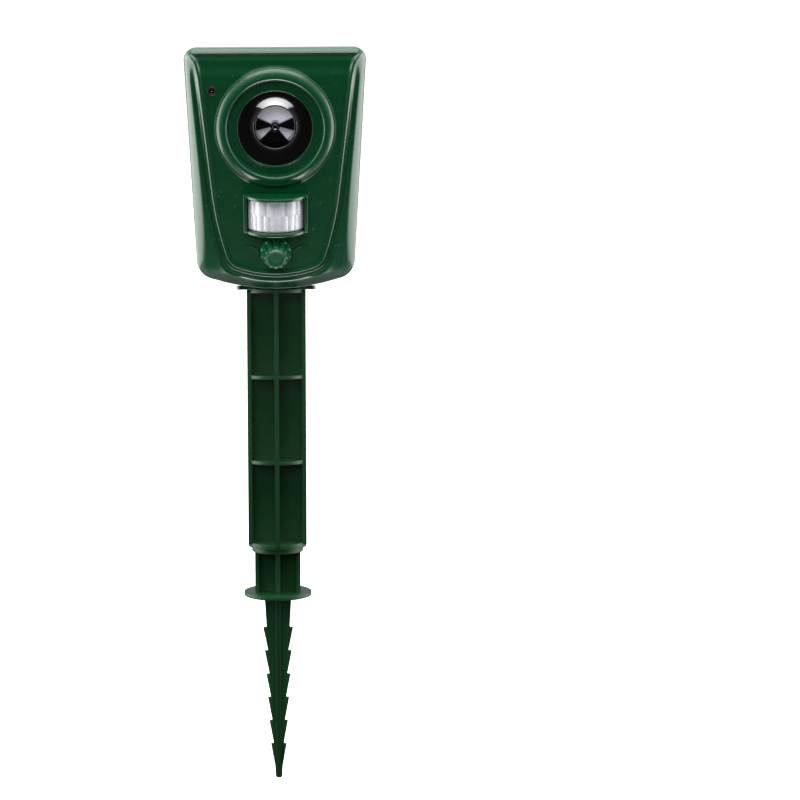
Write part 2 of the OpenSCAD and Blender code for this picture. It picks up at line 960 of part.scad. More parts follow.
pot_front_n = -5.6;
module potentiometer() {
    color("#8d8f94")
        at_face(knob_v)
            difference() {
                union() {
                    translate([0, 0, board_front_n]) cylinder(h = pot_front_n - board_front_n, r = 8);
                    translate([0, 0, pot_front_n]) cylinder(h = 0.2 - pot_front_n, r = bushing_r);
                }
                translate([0, 0, -9.9]) cylinder(h = 20, r = shaft_r + 0.05);
            }
}

module knob_seal() {
    color("#1a1a1a")
        at_face(knob_v)
            translate([0, 0, inner_n - 0.9])
                difference() {
                    cylinder(h = 0.9, r = 6.2);
                    translate([0, 0, -1]) cylinder(h = 3, r = bushing_r + 0.1);
                }
}

// ---------- Electronics ----------

module main_board() {
    color("#1c6b3a")
        difference() {
            at_face()
                translate([0, (board_v0 + board_v1) / 2, 0])
                    slab(board_w, board_v1 - board_v0, board_back_n, board_front_n);
            board_bosses(1.5, board_back_n - 1, board_front_n + 1);
        }
}

module board_screws() {
    color("#b8b8b8")
        at_face()
            for (v = board_hole_vs)
                for (side = [-1, 1])
                    translate([side * board_hole_x, v, board_back_n])
                        screw(1.2, 7, 2.3, 1.4);
}

module driver_transformer() {
    color("#c9b458")
        at_face()
            translate([-14, 44, 0]) {
                slab(14, 12, board_back_n - 11, board_back_n - 1);
                slab(16, 14, board_back_n - 1, board_back_n);
            }
}

cap_places = [[6, 47], [16, 49]];
module capacitors() {
    color("#23304a")
        at_face()
            for (place = cap_places)
                translate([place[0], place[1], board_back_n - 11])
                    cylinder(h = 11, r = 4);
}

module controller_chip() {
    color("#151515")
        at_face() translate([10, 34, 0]) slab(13, 7, board_back_n - 1.8, board_back_n);
}

header_places = [[-24, 34], [-14, 31], [24, 40], [24, 24]];
header_n = board_back_n - 6;
module wire_headers() {
    color("#f0efe8")
        at_face()
            for (place = header_places)
                translate([place[0], place[1], 0])
                    slab(6, 5, header_n, board_back_n);
}

// ---------- Batteries ----------

tray_y0 = 2.2;
tray_floor = 1.5;
cell_y = tray_y0 + tray_floor + 0.3 + cell_d / 2;
cell_pitch = 16;
tray_half_w = 33;
tray_half_h = cell_pitch * cell_count / 2 + 1;

module battery_tray() {
    color("#17171a")
        translate([0, 0, door_mid_z])
            rotate([90, 0, 0])
                difference() {
                    slab(2 * tray_half_w, 2 * tray_half_h, -inner_y, -tray_y0);
                    slab(2 * tray_half_w - 3, 2 * tray_half_h - 3, -rear_y, -tray_y0 - tray_floor);
                    // Wire holes in the floor
                    for (side = [-1, 1])
                        translate([side * 29, 0, -10]) cylinder(h = 12, r = 1.6);
                }
}

module each_cell() {
    for (i = [0:cell_count - 1])
        translate([0, cell_y, door_mid_z + (i - 1) * cell_pitch])
            rotate([0, i % 2 == 0 ? 0 : 180, 0])
                children();
}

module battery_cells() {
    color("#3a6ea5")
        each_cell()
            translate([-cell_len / 2, 0, 0])
                rotate([0, 90, 0]) {
                    cylinder(h = cell_len - 1.2, d = cell_d);
                    cylinder(h = cell_len, r = 2.7);
                }
}

// Closed tube swept along a list of points
function unit(a) = a / norm(a);
function tangent(p, i) = unit(p[min(i + 1, len(p) - 1)] - p[max(i - 1, 0)]);
function side_of(t, ref) = unit(cross(t, ref));
function ring(p, i, r, sides, ref) =
    let (t = tangent(p, i), a = side_of(t, ref), b = cross(t, a))
        [for (k = [0:sides - 1]) p[i] + r * (cos(360 * k / sides) * a + sin(360 * k / sides) * b)];
module swept_tube(p, r, sides, ref) {
    n = len(p);
    points = [for (i = [0:n - 1]) each ring(p, i, r, sides, ref)];
    walls = [
        for (i = [0:n - 2])
            for (k = [0:sides - 1])
                let (k2 = (k + 1) % sides)
                    each [
                        [i * sides + k, (i + 1) * sides + k, i * sides + k2],
                        [i * sides + k2, (i + 1) * sides + k, (i + 1) * sides + k2]
                    ]
    ];
    first_cap = [for (k = [0:sides - 1]) k];
    last_cap = [for (k = [sides - 1:-1:0]) (n - 1) * sides + k];
    polyhedron(points, concat([first_cap], walls, [last_cap]));
}
function blend4(a, b, c, d, t) = 0.5 * (
    2 * b + (c - a) * t + (2 * a - 5 * b + 4 * c - d) * t * t + (3 * b - a - 3 * c + d) * t * t * t
);
function smooth_route(p, steps) = concat(
    [for (i = [0:len(p) - 2]) for (k = [0:steps - 1])
        blend4(p[max(i - 1, 0)], p[i], p[i + 1], p[min(i + 2, len(p) - 1)], k / steps)],
    [p[len(p) - 1]]
);

spring_turns = 2.5;
spring_r = 3.6;
spring_wire_r = 0.4;
spring_x0 = cell_len / 2 + 0.5;
spring_len = 4.2;
function spring_point(i, rings) =
    let (t = i / rings, a = 360 * spring_turns * t, r = spring_r - 1.4 * t)
        [spring_x0 + spring_len * (1 - t), r * cos(a), r * sin(a)];
module contact_springs() {
    rings = 34;
    route = [for (i = [0:rings]) spring_point(i, rings)];
    color("#c8ccd0")
        each_cell()
            mirror([1, 0, 0])
                swept_tube(route, spring_wire_r, 6, [1, 0, 0]);
}

module contact_plates() {
    plate_half = tray_half_w - 1.5;
    color("#c8ccd0")
        each_cell() {
            translate([-plate_half + 0.25, 0, 0]) cube([0.5, 10, 11], center = true);
            translate([(cell_len / 2 + plate_half) / 2 + 0.2, 0, 0])
                cube([plate_half - cell_len / 2 - 0.4, 6, 7], center = true);
        }
}

seal_thick = 0.8;
door_t = 2.6;
module battery_door() {
    color("#0e5230")
        translate([0, rear_y + seal_thick, door_mid_z])
            rotate([-90, 0, 0])
                difference() {
                    union() {
                        round_slab(2 * door_half_w, door_z1 - door_z0, 0, door_t, 5);
                        slab(2 * hatch_half_w - 1.2, hatch_h - 1.2, -2.2, 0);
                        for (i = [-2:2])
                            translate([0, i * 4, 0]) slab(30, 1.4, door_t - eps, door_t + 0.8);
                    }
                    for (side = [-1, 1])
                        translate([side * door_screw_x, 0, -3]) {
                            cylinder(h = 10, r = screw_r + 0.3);
                            translate([0, 0, 3 + door_t - 1.8]) cylinder(h = 5, r = 3.1);
                        }
                }
}

module battery_door_seal() {
    color("#1a1a1a")
        translate([0, rear_y, door_mid_z])
            rotate([-90, 0, 0])
                difference() {
                    round_slab(2 * door_half_w - 2, door_z1 - door_z0 - 2, 0, seal_thick, 4);
                    slab(2 * hatch_half_w + 0.6, hatch_h + 0.6, -1, 2);
                    for (side = [-1, 1])
                        translate([side * door_screw_x, 0, -1]) cylinder(h = 4, r = screw_r + 0.3);
                }
}

module battery_door_screws() {
    color("#b8b8b8")
        for (side = [-1, 1])
            translate([side * door_screw_x, rear_y + seal_thick + door_t - 1.8, door_mid_z])
                rotate([90, 0, 0])
                    screw(screw_r, 14, 2.8, 1.6);
}

slider_travel = 4;
module power_switch() {
    color("#8d8f94")
        translate([switch_x, inner_y - 3.2, switch_z])
            difference() {
                cube([14, 6.4, 7], center = true);
                translate([0, 2, 0]) cube([slot_w, 5, slot_h], center = true);
            }
}

module switch_slider() {
    slider_w = slot_w - slider_travel - 0.6;
    color("#101010")
        translate([switch_x - slider_travel / 2, rear_y - 2.2, switch_z])
            cube([slider_w, 6.4, slot_h - 0.6], center = true);
}

jack_bore_r = 2.75;
jack_depth = 9.5;
module dc_jack() {
    color("#101010")
        translate([jack_x, 0, jack_z]) {
            difference() {
                union() {
                    translate([-5, inner_y - 11, -5]) cube([10, 11, 10]);
                    translate([0, inner_y - 1, 0])
                        rotate([-90, 0, 0])
                            cylinder(h = wall + 0.9, r = jack_r);
                }
                translate([0, rear_y - jack_depth, 0])
                    rotate([-90, 0, 0])
                        cylinder(h = jack_depth + 1, r = jack_bore_r);
            }
            translate([0, rear_y - jack_depth - 1, 0])
                rotate([-90, 0, 0])
                    cylinder(h = jack_depth - 2, r = 1);
        }
}

module jack_cover() {
    color("#1b1b1b") {
        translate([jack_x, rear_y + 0.1, jack_z]) rotate([-90, 0, 0]) cylinder(h = 1.7, r = 6);
        translate([jack_x, rear_y - 1.2, jack_z]) rotate([-90, 0, 0]) cylinder(h = 2, r = 2);
        translate([jack_x - 2.3, rear_y + 0.3, jack_z]) cube([4.6, 1.4, hinge_z - jack_z]);
        translate([jack_x, 0, 0]) {
            hinge_pin(1.1, ear_gap - 0.4);
            hinge_pin(axle_r, ear_gap + 2 * ear_t - 0.4);
        }
        translate([jack_x - 2, rear_y + 1.6, jack_z - 5.4]) cube([4, 1, 1.2]);
    }
}

module housing_screws() {
    color("#b8b8b8")
        for (place = screw_places)
            for (side = [-1, 1])
                translate([side * place[0], place[2], place[1]])
                    rotate([90, 0, 0])
                        screw(screw_r, 24, 2.9, 1.8);
}

// ---------- Leads held inside the head ----------

lead_r = 0.6;
lead_spread = 1.5;
lead_ref = [0, 1, 0];
// Where leads start, just clear of the connectors' open faces
lead_n = header_n - 0.5;

// Route moved sideways by a distance
function beside(p, d) = [
    for (i = [0:len(p) - 1]) p[i] + d * side_of(tangent(p, i), lead_ref)
];

// A pair of leads side by side; the route's points are in the row frame
module lead_pair(route, first, second) {
    path = smooth_route(route, 4);
    color(first) swept_tube(beside(path, lead_spread / 2), lead_r, 6, lead_ref);
    color(second) swept_tube(beside(path, -lead_spread / 2), lead_r, 6, lead_ref);
}

module speaker_leads() {
    start = face_point(-24, 34, lead_n);
    behind = face_point(0, speaker_v, can_back_n - 9);
    end = face_point(0, speaker_v, can_back_n + 1);
    lead_pair(
        [start, [-25, -12, 234], [-22, -8, 252], [-12, -8, 270], behind, end],
        "red", "black"
    );
}

module battery_leads() {
    start = face_point(-14, 31, lead_n);
    end = [-29, tray_y0 + 1, door_mid_z];
    lead_pair([start, [-16, -9, 226], [-22, -4, 238], [-28, -3, 250], end], "red", "black");
}

module solar_leads() {
    start = face_point(24, 40, lead_n);
    lead_pair(
        [
            start, [26, -12, 238], [29, -7, 256], [26, -7, 280], [10, -14, 298],
            [1, -20, 307], [0, -20, 313]
        ],
        "red", "black"
    );
}

module led_leads() {
    start = face_point(24, 24, lead_n);
    end = face_point(led_x, led_v, -7.4);
    lead_pair(
        [
            start, [26, -7, 221], [36, -3, 234], [37, -3, 262], [30, -4, 286], [12, -6, 300],
            [-14, -18, 304], [-30, -38, 301], end
        ],
        "yellow", "black"
    );
}

ground_spike();
upper_stake();
stake_socket();
front_shell();
rear_shell();
shell_gasket();
roof_frame();
roof_gasket();
solar_board();
solar_cells();
solar_cover();
speaker_horn();
phase_plug();
speaker_diaphragm();
piezo_disc();
speaker_can();
speaker_gasket();
speaker_screws();
pir_lens();
pir_retainer();
pir_sensor();
led_holder();
indicator_led();
sensitivity_knob();
pot_shaft();
potentiometer();
knob_seal();
main_board();
board_screws();
driver_transformer();
capacitors();
controller_chip();
wire_headers();
battery_tray();
battery_cells();
contact_springs();
contact_plates();
battery_door();
battery_door_seal();
battery_door_screws();
power_switch();
switch_slider();
dc_jack();
jack_cover();
housing_screws();
speaker_leads();
battery_leads();
solar_leads();
led_leads();
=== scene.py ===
import json
import math

import bmesh
import bpy
import numpy as np
from mathutils import Matrix, Vector


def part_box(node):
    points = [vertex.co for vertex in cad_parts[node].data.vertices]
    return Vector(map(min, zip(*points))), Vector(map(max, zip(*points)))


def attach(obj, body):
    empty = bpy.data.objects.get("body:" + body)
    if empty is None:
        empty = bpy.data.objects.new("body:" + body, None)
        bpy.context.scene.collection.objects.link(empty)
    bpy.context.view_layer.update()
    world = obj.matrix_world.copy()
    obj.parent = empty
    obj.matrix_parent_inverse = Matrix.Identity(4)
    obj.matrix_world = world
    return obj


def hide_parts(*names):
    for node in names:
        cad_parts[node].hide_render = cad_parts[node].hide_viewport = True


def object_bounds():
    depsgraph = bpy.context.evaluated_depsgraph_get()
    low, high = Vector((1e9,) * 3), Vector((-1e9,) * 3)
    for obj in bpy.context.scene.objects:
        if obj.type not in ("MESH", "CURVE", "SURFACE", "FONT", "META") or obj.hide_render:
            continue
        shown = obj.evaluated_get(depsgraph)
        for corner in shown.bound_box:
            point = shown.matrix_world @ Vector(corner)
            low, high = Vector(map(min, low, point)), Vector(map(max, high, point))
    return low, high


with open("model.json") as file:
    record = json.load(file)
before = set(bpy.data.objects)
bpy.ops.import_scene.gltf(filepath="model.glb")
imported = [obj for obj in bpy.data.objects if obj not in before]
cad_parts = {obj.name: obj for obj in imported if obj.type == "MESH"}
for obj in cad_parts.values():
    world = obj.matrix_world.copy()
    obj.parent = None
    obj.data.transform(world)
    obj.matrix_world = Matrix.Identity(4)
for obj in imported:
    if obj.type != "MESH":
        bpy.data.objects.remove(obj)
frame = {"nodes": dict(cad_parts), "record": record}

# Lengths below are in millimetres in the row frame; make_object turns them into metres.
MM = 0.001
CAD_LOW, CAD_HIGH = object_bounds()


def joint_named(name):
    for joint in frame["record"]["behaviour"]["joints"]:
        if joint["name"] == name:
            return joint
    raise KeyError(name)


def box_mm(node):
    low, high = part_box(node)
    return np.array(low) / MM, np.array(high) / MM


# ---------- The face frame: x to the right, v up the face, n out of it ----------

KNOB_V = 17.4
knob_joint = joint_named("knob_turn")
FACE_N = np.array(knob_joint["axis"]) / np.linalg.norm(knob_joint["axis"])
FACE_U = np.array([0.0, FACE_N[2], -FACE_N[1]])
FACE_ORIGIN = np.array(knob_joint["pos_m"]) / MM - KNOB_V * FACE_U
FACE_X = np.array([1.0, 0.0, 0.0])


def face_points(x, v, n):
    """Row-frame points of places on the face, for numbers or arrays."""
    x, v, n = np.broadcast_arrays(np.asarray(x, float), v, n)
    return (
        FACE_ORIGIN
        + x[..., None] * FACE_X
        + v[..., None] * FACE_U
        + n[..., None] * FACE_N
    )


# ---------- Mesh helpers ----------

def linked(name, data):
    """Object in the scene for a mesh, a light or a camera."""
    obj = bpy.data.objects.new(name, data)
    bpy.context.scene.collection.objects.link(obj)
    return obj


def make_object(name, verts_mm, faces):
    mesh = bpy.data.meshes.new(name)
    mesh.from_pydata([tuple(p) for p in np.asarray(verts_mm) * MM], [], faces)
    mesh.update()
    return linked(name, mesh)


def grid_faces(rows, cols, closed_cols=True):
    """Quads of a grid stored row by row; closed_cols joins the last column to the first."""
    faces = []
    span = cols if closed_cols else cols - 1
    for r in range(rows - 1):
        for c in range(span):
            d = (c + 1) % cols
            faces.append((r * cols + c, r * cols + d, (r + 1) * cols + d, (r + 1) * cols + c))
    return faces


def apply_modifiers(obj):
    graph = bpy.context.evaluated_depsgraph_get()
    mesh = bpy.data.meshes.new_from_object(obj.evaluated_get(graph))
    old = obj.data
    obj.modifiers.clear()
    obj.data = mesh
    bpy.data.meshes.remove(old)
    return obj


def use_up(obj):
    mesh = obj.data
    bpy.data.objects.remove(obj)
    bpy.data.meshes.remove(mesh)


def combine(obj, other, operation):
    """Boolean of two closed meshes; the other one is used up."""
    mod = obj.modifiers.new("combine", "BOOLEAN")
    mod.object = other
    mod.operation = operation
    mod.solver = "MANIFOLD"
    apply_modifiers(obj)
    use_up(other)
    return obj


def cut(obj, other):
    return combine(obj, other, "DIFFERENCE")


def unite(obj, other):
    return combine(obj, other, "UNION")


def shade(obj, angle_deg=30.0):
    """Smooth shading with sharp edges past an angle."""
    mesh = obj.data
    mesh.shade_smooth()
    mesh.set_sharp_from_angle(angle=math.radians(angle_deg))
    return obj


def copy_of(obj, name):
    return linked(name, obj.data.copy())


# ---------- The head's rounded wedge ----------

EDGE_R = 7.0
WALL = 2.5
TOP_HALF_W = 43.7
TOP_V = 126.2
CORNER_X = 34.2
CORNER_V = 11.0
CORNER_R = 5.0
BOTTOM_ARC_R = 107.0
BOTTOM_V = 0.5
REAR_TAPER = 0.94
REAR_Y = box_mm("battery_tray")[1][1] + WALL
BOTTOM_Z = 185.5
ROOF_SLOPE = math.radians(5.0)
# Where the rings of the face and of the rear wall close
FACE_MIDDLE_V = 66.0
REAR_MIDDLE_Z = 250.0
# How flat the front rounding is (1 is a true round), and how its rings crowd to the edge
BLUNT = 1.35
CROWDING = 1.3
FRONT_TOP = face_points(0.0, TOP_V, -EDGE_R)
REAR_TOP_Z = FRONT_TOP[2] - (REAR_Y - EDGE_R - FRONT_TOP[1]) * math.tan(ROOF_SLOPE)


def arc_rise(x):
    return x * x / (2 * BOTTOM_ARC_R)


def outline_centres(side_steps, top_steps, corner_steps, arc_steps, ball_steps):
    """Front centres, rear centres and side normals of a ball rolled round the head.

    They run down the right half, from the top's middle to the bottom's, and up the left half.
    """
    front, rear, normals = [], [], []

    def add(x, v, rear_z, normal):
        front.append(face_points(x, v, -EDGE_R))
        rear.append(np.array([x * REAR_TAPER, REAR_Y - EDGE_R, rear_z]))
        normals.append(normal)

    def plane_normal(a, b, c):
        n = np.cross(b - a, c - a)
        return n / np.linalg.norm(n)

    # Plane normals of the roof and of the right side
    top_l = face_points(-TOP_HALF_W, TOP_V, -EDGE_R)
    top_r = face_points(TOP_HALF_W, TOP_V, -EDGE_R)
    rear_tr = np.array([TOP_HALF_W * REAR_TAPER, REAR_Y - EDGE_R, REAR_TOP_Z])
    roof_n = plane_normal(top_l, top_r, rear_tr)
    low_x = CORNER_X + CORNER_R
    low_r = face_points(low_x, CORNER_V, -EDGE_R)
    rear_low_z = BOTTOM_Z + EDGE_R + arc_rise(CORNER_X) + CORNER_R
    side_n = plane_normal(low_r, rear_tr, top_r)
    if side_n[0] < 0:
        side_n = -side_n
    if roof_n[2] < 0:
        roof_n = -roof_n

    # Top edge from its middle to the right corner
    for k in range(top_steps + 1):
        add(TOP_HALF_W * k / top_steps, TOP_V, REAR_TOP_Z, roof_n)
    # Ball turning at the top corner
    for k in range(1, ball_steps + 1):
        a = math.pi / 2 * k / ball_steps
        n = roof_n * math.cos(a) + side_n * math.sin(a)
        add(TOP_HALF_W, TOP_V, REAR_TOP_Z, n / np.linalg.norm(n))
    # Right side, downwards
    for k in range(1, side_steps + 1):
        t = k / side_steps
        add(
            TOP_HALF_W + (low_x - TOP_HALF_W) * t,
            TOP_V + (CORNER_V - TOP_V) * t,
            REAR_TOP_Z + (rear_low_z - REAR_TOP_Z) * t,
            side_n,
        )
    # Bottom corner: the normal turns with the corner's arc
    end_n = bottom_normal(CORNER_X)
    for k in range(1, corner_steps + 1):
        a = math.pi / 2 * k / corner_steps
        n = side_n * math.cos(a) + end_n * math.sin(a)
        add(
            CORNER_X + CORNER_R * math.cos(a),
            CORNER_V - CORNER_R * math.sin(a),
            rear_low_z - CORNER_R * math.sin(a),
            n / np.linalg.norm(n),
        )
    # Bottom arc to the middle
    for k in range(1, arc_steps + 1):
        x = CORNER_X * (1 - k / arc_steps)
        blend = x / CORNER_X
        v_arc = BOTTOM_V + arc_rise(x)
        lift = (CORNER_V - CORNER_R) - (BOTTOM_V + arc_rise(CORNER_X))
        add(x, v_arc + lift * blend, BOTTOM_Z + EDGE_R + arc_rise(x), bottom_normal(x))

    # Mirror the right half to the left, without doubling the two middle columns
    flip = np.array([-1.0, 1.0, 1.0])
    for k in range(len(front) - 2, 0, -1):
        front.append(front[k] * flip)
        rear.append(rear[k] * flip)
        normals.append(normals[k] * flip)
    return np.array(front), np.array(rear), np.array(normals)


def bottom_normal(x):
    """Outward normal of the underside's ruled surface at x."""
    step = 0.5
    a = face_points(x - step, BOTTOM_V + arc_rise(x - step), -EDGE_R)
    b = face_points(x + step, BOTTOM_V + arc_rise(x + step), -EDGE_R)
    c = np.array([x * REAR_TAPER, REAR_Y - EDGE_R, BOTTOM_Z + EDGE_R + arc_rise(x)])
    n = np.cross(b - a, c - a)
    n = n / np.linalg.norm(n)
    return n if n[2] < 0 else -n


def between(a, b, t, blunt=1.0):
    """Directions turned from a to b by the share t; past 1, blunt makes the round part chamfer."""
    angle = np.arccos(np.clip((a * b).sum(-1, keepdims=True), -1, 1))
    share_a = np.clip(np.sin((1 - t) * angle) / np.sin(angle), 0, 1) ** blunt
    share_b = np.clip(np.sin(t * angle) / np.sin(angle), 0, 1) ** blunt
    return share_a * a + share_b * b


def head_surface(radius, height=None, fine=True, blunt=BLUNT):
    """Closed skin of the head: face, front rounding, sides, rear rounding and rear wall.

    height gives the face's relief; it fades out round the front rounding.
    """
    if fine:
        front, rear, normals = outline_centres(130, 50, 22, 60, 12)
        fillet, sides, face_rings, rear_rings = 14, 20, 140, 8
    else:
        front, rear, normals = outline_centres(16, 8, 6, 10, 6)
        fillet, sides, face_rings, rear_rings = 6, 3, 4, 4
    count = len(front)
    rear_n = np.broadcast_to(np.array([0.0, 1.0, 0.0]), normals.shape)
    face_n = np.broadcast_to(FACE_N, normals.shape)
    rows = []

    def spread(k, total):
        """Ring places that crowd towards the edge."""
        return 1 - (1 - k / total) ** CROWDING

    middle = face_points(0.0, FACE_MIDDLE_V, -EDGE_R)
    for k in range(1, face_rings + 1):
        t = spread(k, face_rings)
        ring = middle + (front - middle) * t
        rows.append((ring + radius * FACE_N, 1.0))
    for k in range(1, fillet + 1):
        t = k / fillet
        rows.append((front + radius * between(face_n, normals, t, blunt), 1 - t))
    for k in range(1, sides + 1):
        t = k / sides
        rows.append((front + (rear - front) * t + radius * normals, 0.0))
    for k in range(1, fillet + 1):
        t = k / fillet
        rows.append((rear + radius * between(normals, rear_n, t), 0.0))
    rear_middle = np.array([0.0, REAR_Y - EDGE_R, REAR_MIDDLE_Z])
    for k in range(1, rear_rings):
        t = k / rear_rings
        ring = rear + (rear_middle - rear) * t
        rows.append((ring + radius * rear_n, 0.0))

    points = []
    for ring, weight in rows:
        if height is not None and weight > 0:
            local = ring - FACE_ORIGIN
            x, v = local @ FACE_X, local @ FACE_U
            ring = ring + (height(x, v) * weight)[:, None] * FACE_N
        points.append(ring)
    verts = np.concatenate(points)
    faces = grid_faces(len(rows), count)
    centre = middle + radius * FACE_N
    if height is not None:
        rise = height(np.array([0.0]), np.array([FACE_MIDDLE_V]))
        centre = centre + float(rise[0]) * FACE_N
    rear_centre = rear_middle + radius * rear_n[0]
    verts = np.vstack([verts, centre, rear_centre])
    first, last = len(verts) - 2, len(verts) - 1
    base = (len(rows) - 1) * count
    for c in range(count):
        d = (c + 1) % count
        faces.append((first, d, c))
        faces.append((last, base + c, base + d))
    return verts, faces


# ---------- Face relief ----------

U_TOP = np.array([42.8, 122.0])
U_HEADING = 5.8
U_STRAIGHT = 69.4
U_FLARE_R, U_FLARE_HEADING = 10.0, 58.0
U_SIDE_R, U_SIDE_END = 188.0, 18.0
U_CORNER_R, U_CORNER_END = 9.0, 70.0


def turn(p, r, h0, h1):
    """Place reached from p by an arc of radius r that turns the heading from h0 to h1."""
    h0, h1 = math.radians(h0), math.radians(h1)
    return p + r * np.array([math.cos(h1) - math.cos(h0), math.sin(h0) - math.sin(h1)])


def flared(heading):
    """Place on the curve by which the bead turns out into the lip at its top."""
    h, h0 = math.radians(heading), math.radians(U_HEADING)
    return U_TOP + U_FLARE_R * np.array([math.cos(h0) - math.cos(h), math.sin(h) - math.sin(h0)])


def u_path():
    """Right half of the raised bead's line, from its top to the middle of its bottom."""
    h = math.radians(U_HEADING)
    a = U_TOP - U_STRAIGHT * np.array([math.sin(h), math.cos(h)])
    b = turn(a, U_SIDE_R, U_HEADING, U_SIDE_END)
    c = turn(b, U_CORNER_R, U_SIDE_END, U_CORNER_END)
    base_r = c[0] / math.cos(math.radians(U_CORNER_END))

    def steps(start, end, count):
        return np.linspace(start, end, count, endpoint=False)

    path = [flared(t) for t in steps(U_FLARE_HEADING, U_HEADING, 16)]
    path += [U_TOP + (a - U_TOP) * t for t in steps(0, 1, 60)]
    path += [turn(a, U_SIDE_R, U_HEADING, t) for t in steps(U_HEADING, U_SIDE_END, 40)]
    path += [turn(b, U_CORNER_R, U_SIDE_END, t) for t in steps(U_SIDE_END, U_CORNER_END, 24)]
    path += [turn(c, base_r, U_CORNER_END, t) for t in np.linspace(U_CORNER_END, 90, 30)]
    return np.array(path)


U_LINE = u_path()


def distance_to_line(x, v, line):
    """Signed distance of |x|, v from the bead's line: positive outside it."""
    p = np.stack([np.abs(x), v], -1)
    a, b = line[:-1], line[1:]
    best = np.full(len(p), 1e9)
    sign = np.ones(len(p))
    for k in range(len(a)):
        ab = b[k] - a[k]
        t = np.clip(((p - a[k]) @ ab) / (ab @ ab), 0, 1)
        off = p - (a[k] + t[:, None] * ab)
        d = np.hypot(off[:, 0], off[:, 1])
        cross = ab[0] * off[:, 1] - ab[1] * off[:, 0]
        nearer = d < best
        best = np.where(nearer, d, best)
        sign = np.where(nearer, np.sign(cross), sign)
    return best * sign


def smooth_step(t):
    t = np.clip(t, 0, 1)
    return t * t * (3 - 2 * t)


BEAD_RISE = 1.0
BEAD_HALF = 1.3
GROOVE_DEPTH = 1.7
GROOVE_OFF = 2.7
GROOVE_HALF = 1.7
SHOULDER_DROP = 2.8
SHOULDER_W = 14.0
SHOULDER_OFF = 3.0
# The groove and the shoulder fade out over this stretch below the roof
FADE_V, FADE_W = 126.0, 12.0
COVE_DEPTH = 1.1
COVE_V, COVE_W = 117.0, 7.0


def face_height(x, v):
    """Height of the face over its plane: bead, groove, falling shoulder and top cove."""
    d = distance_to_line(x, v, U_LINE)
    grow = smooth_step((FADE_V - v) / FADE_W)
    bead = BEAD_RISE * np.exp(-((d / BEAD_HALF) ** 2))
    groove = -GROOVE_DEPTH * grow * np.exp(-(((d - GROOVE_OFF) / GROOVE_HALF) ** 2))
    shoulder = -SHOULDER_DROP * grow * smooth_step((d - SHOULDER_OFF) / SHOULDER_W)
    cove = -COVE_DEPTH * smooth_step((v - COVE_V) / COVE_W) * smooth_step((1.0 - d) / 3.0)
    return bead * (0.8 + 0.2 * grow) + groove + shoulder + cove


# ---------- Pieces of the head ----------

ROOF_T = 5.2
SEAL_T = 1.0
ROOF_SEAM = 0.15
SPLIT_Y = -2.0
SPLIT_LEAN = math.radians(10.0)
BIG = 300.0


def rotation_x(angle):
    return Matrix.Rotation(angle, 3, "X")


def make_box(name, centre, size, turn_matrix=None, origin=(0, 0, 0)):
    """Closed box in mm, turned about an origin."""
    cx, cy, cz = centre
    sx, sy, sz = (s / 2 for s in size)
    corners = [
        Vector((cx + dx * sx, cy + dy * sy, cz + dz * sz))
        for dx in (-1, 1) for dy in (-1, 1) for dz in (-1, 1)
    ]
    if turn_matrix is not None:
        corners = [turn_matrix @ c for c in corners]
    corners = [c + Vector(origin) for c in corners]
    faces = [(0, 1, 3, 2), (4, 6, 7, 5), (0, 4, 5, 1), (2, 3, 7, 6), (0, 2, 6, 4), (1, 5, 7, 3)]
    return make_object(name, [tuple(c) for c in corners], faces)


def roof_cut(depth, above):
    """Big box above or below the plane a given depth under the roof."""
    z = EDGE_R - depth + (BIG / 2 if above else -BIG / 2)
    return make_box("cut", (0, 0, z), (BIG, BIG, BIG), rotation_x(-ROOF_SLOPE), tuple(FRONT_TOP))


def split_cut(offset, front):
    y = offset + (-BIG / 2 if front else BIG / 2)
    origin = (0, SPLIT_Y, FACE_ORIGIN[2])
    return make_box("cut", (0, y, 0), (BIG, BIG, BIG), rotation_x(SPLIT_LEAN), origin)


def face_matrix(v=0.0, x=0.0, n=0.0):
    """Turns a local x, y, z into x, v and n on the face."""
    m = Matrix((FACE_X, FACE_U, FACE_N)).transposed().to_4x4()
    m.translation = Vector(FACE_ORIGIN + x * FACE_X + v * FACE_U + n * FACE_N)
    return m


def placed(name, verts, faces, matrix):
    """Closed object from local mm points moved by a matrix in mm."""
    moved = [tuple(matrix @ Vector(p)) for p in verts]
    return outward(make_object(name, moved, faces))


def revolved(profile, steps=96):
    """Closed revolve about local z of (r, z) points; r = 0 at an end closes with a fan."""
    verts, rings, faces = [], [], []
    for r, z in profile:
        if r < 1e-6:
            rings.append([len(verts)])
            verts.append((0.0, 0.0, z))
            continue
        rings.append(list(range(len(verts), len(verts) + steps)))
        for k in range(steps):
            a = 2 * math.pi * k / steps
            verts.append((r * math.cos(a), r * math.sin(a), z))
    pairs = list(zip(rings, rings[1:]))
    if len(rings[0]) > 1 and len(rings[-1]) > 1:
        pairs.append((rings[-1], rings[0]))
    for lower, upper in pairs:
        for k in range(steps):
            j = (k + 1) % steps
            if len(lower) == 1:
                faces.append((lower[0], upper[j], upper[k]))
            elif len(upper) == 1:
                faces.append((lower[k], lower[j], upper[0]))
            else:
                faces.append((lower[k], lower[j], upper[j], upper[k]))
    return verts, faces


def outward(obj):
    """Turns every face to point outwards."""
    bm = bmesh.new()
    bm.from_mesh(obj.data)
    bmesh.ops.recalc_face_normals(bm, faces=bm.faces)
    bm.to_mesh(obj.data)
    bm.free()
    return obj


def arc(cx, cy, r, a0, a1, steps):
    """Points along an arc, angles in degrees."""
    return [
        (cx + r * math.cos(math.radians(a)), cy + r * math.sin(math.radians(a)))
        for a in np.linspace(a0, a1, steps + 1)
    ]


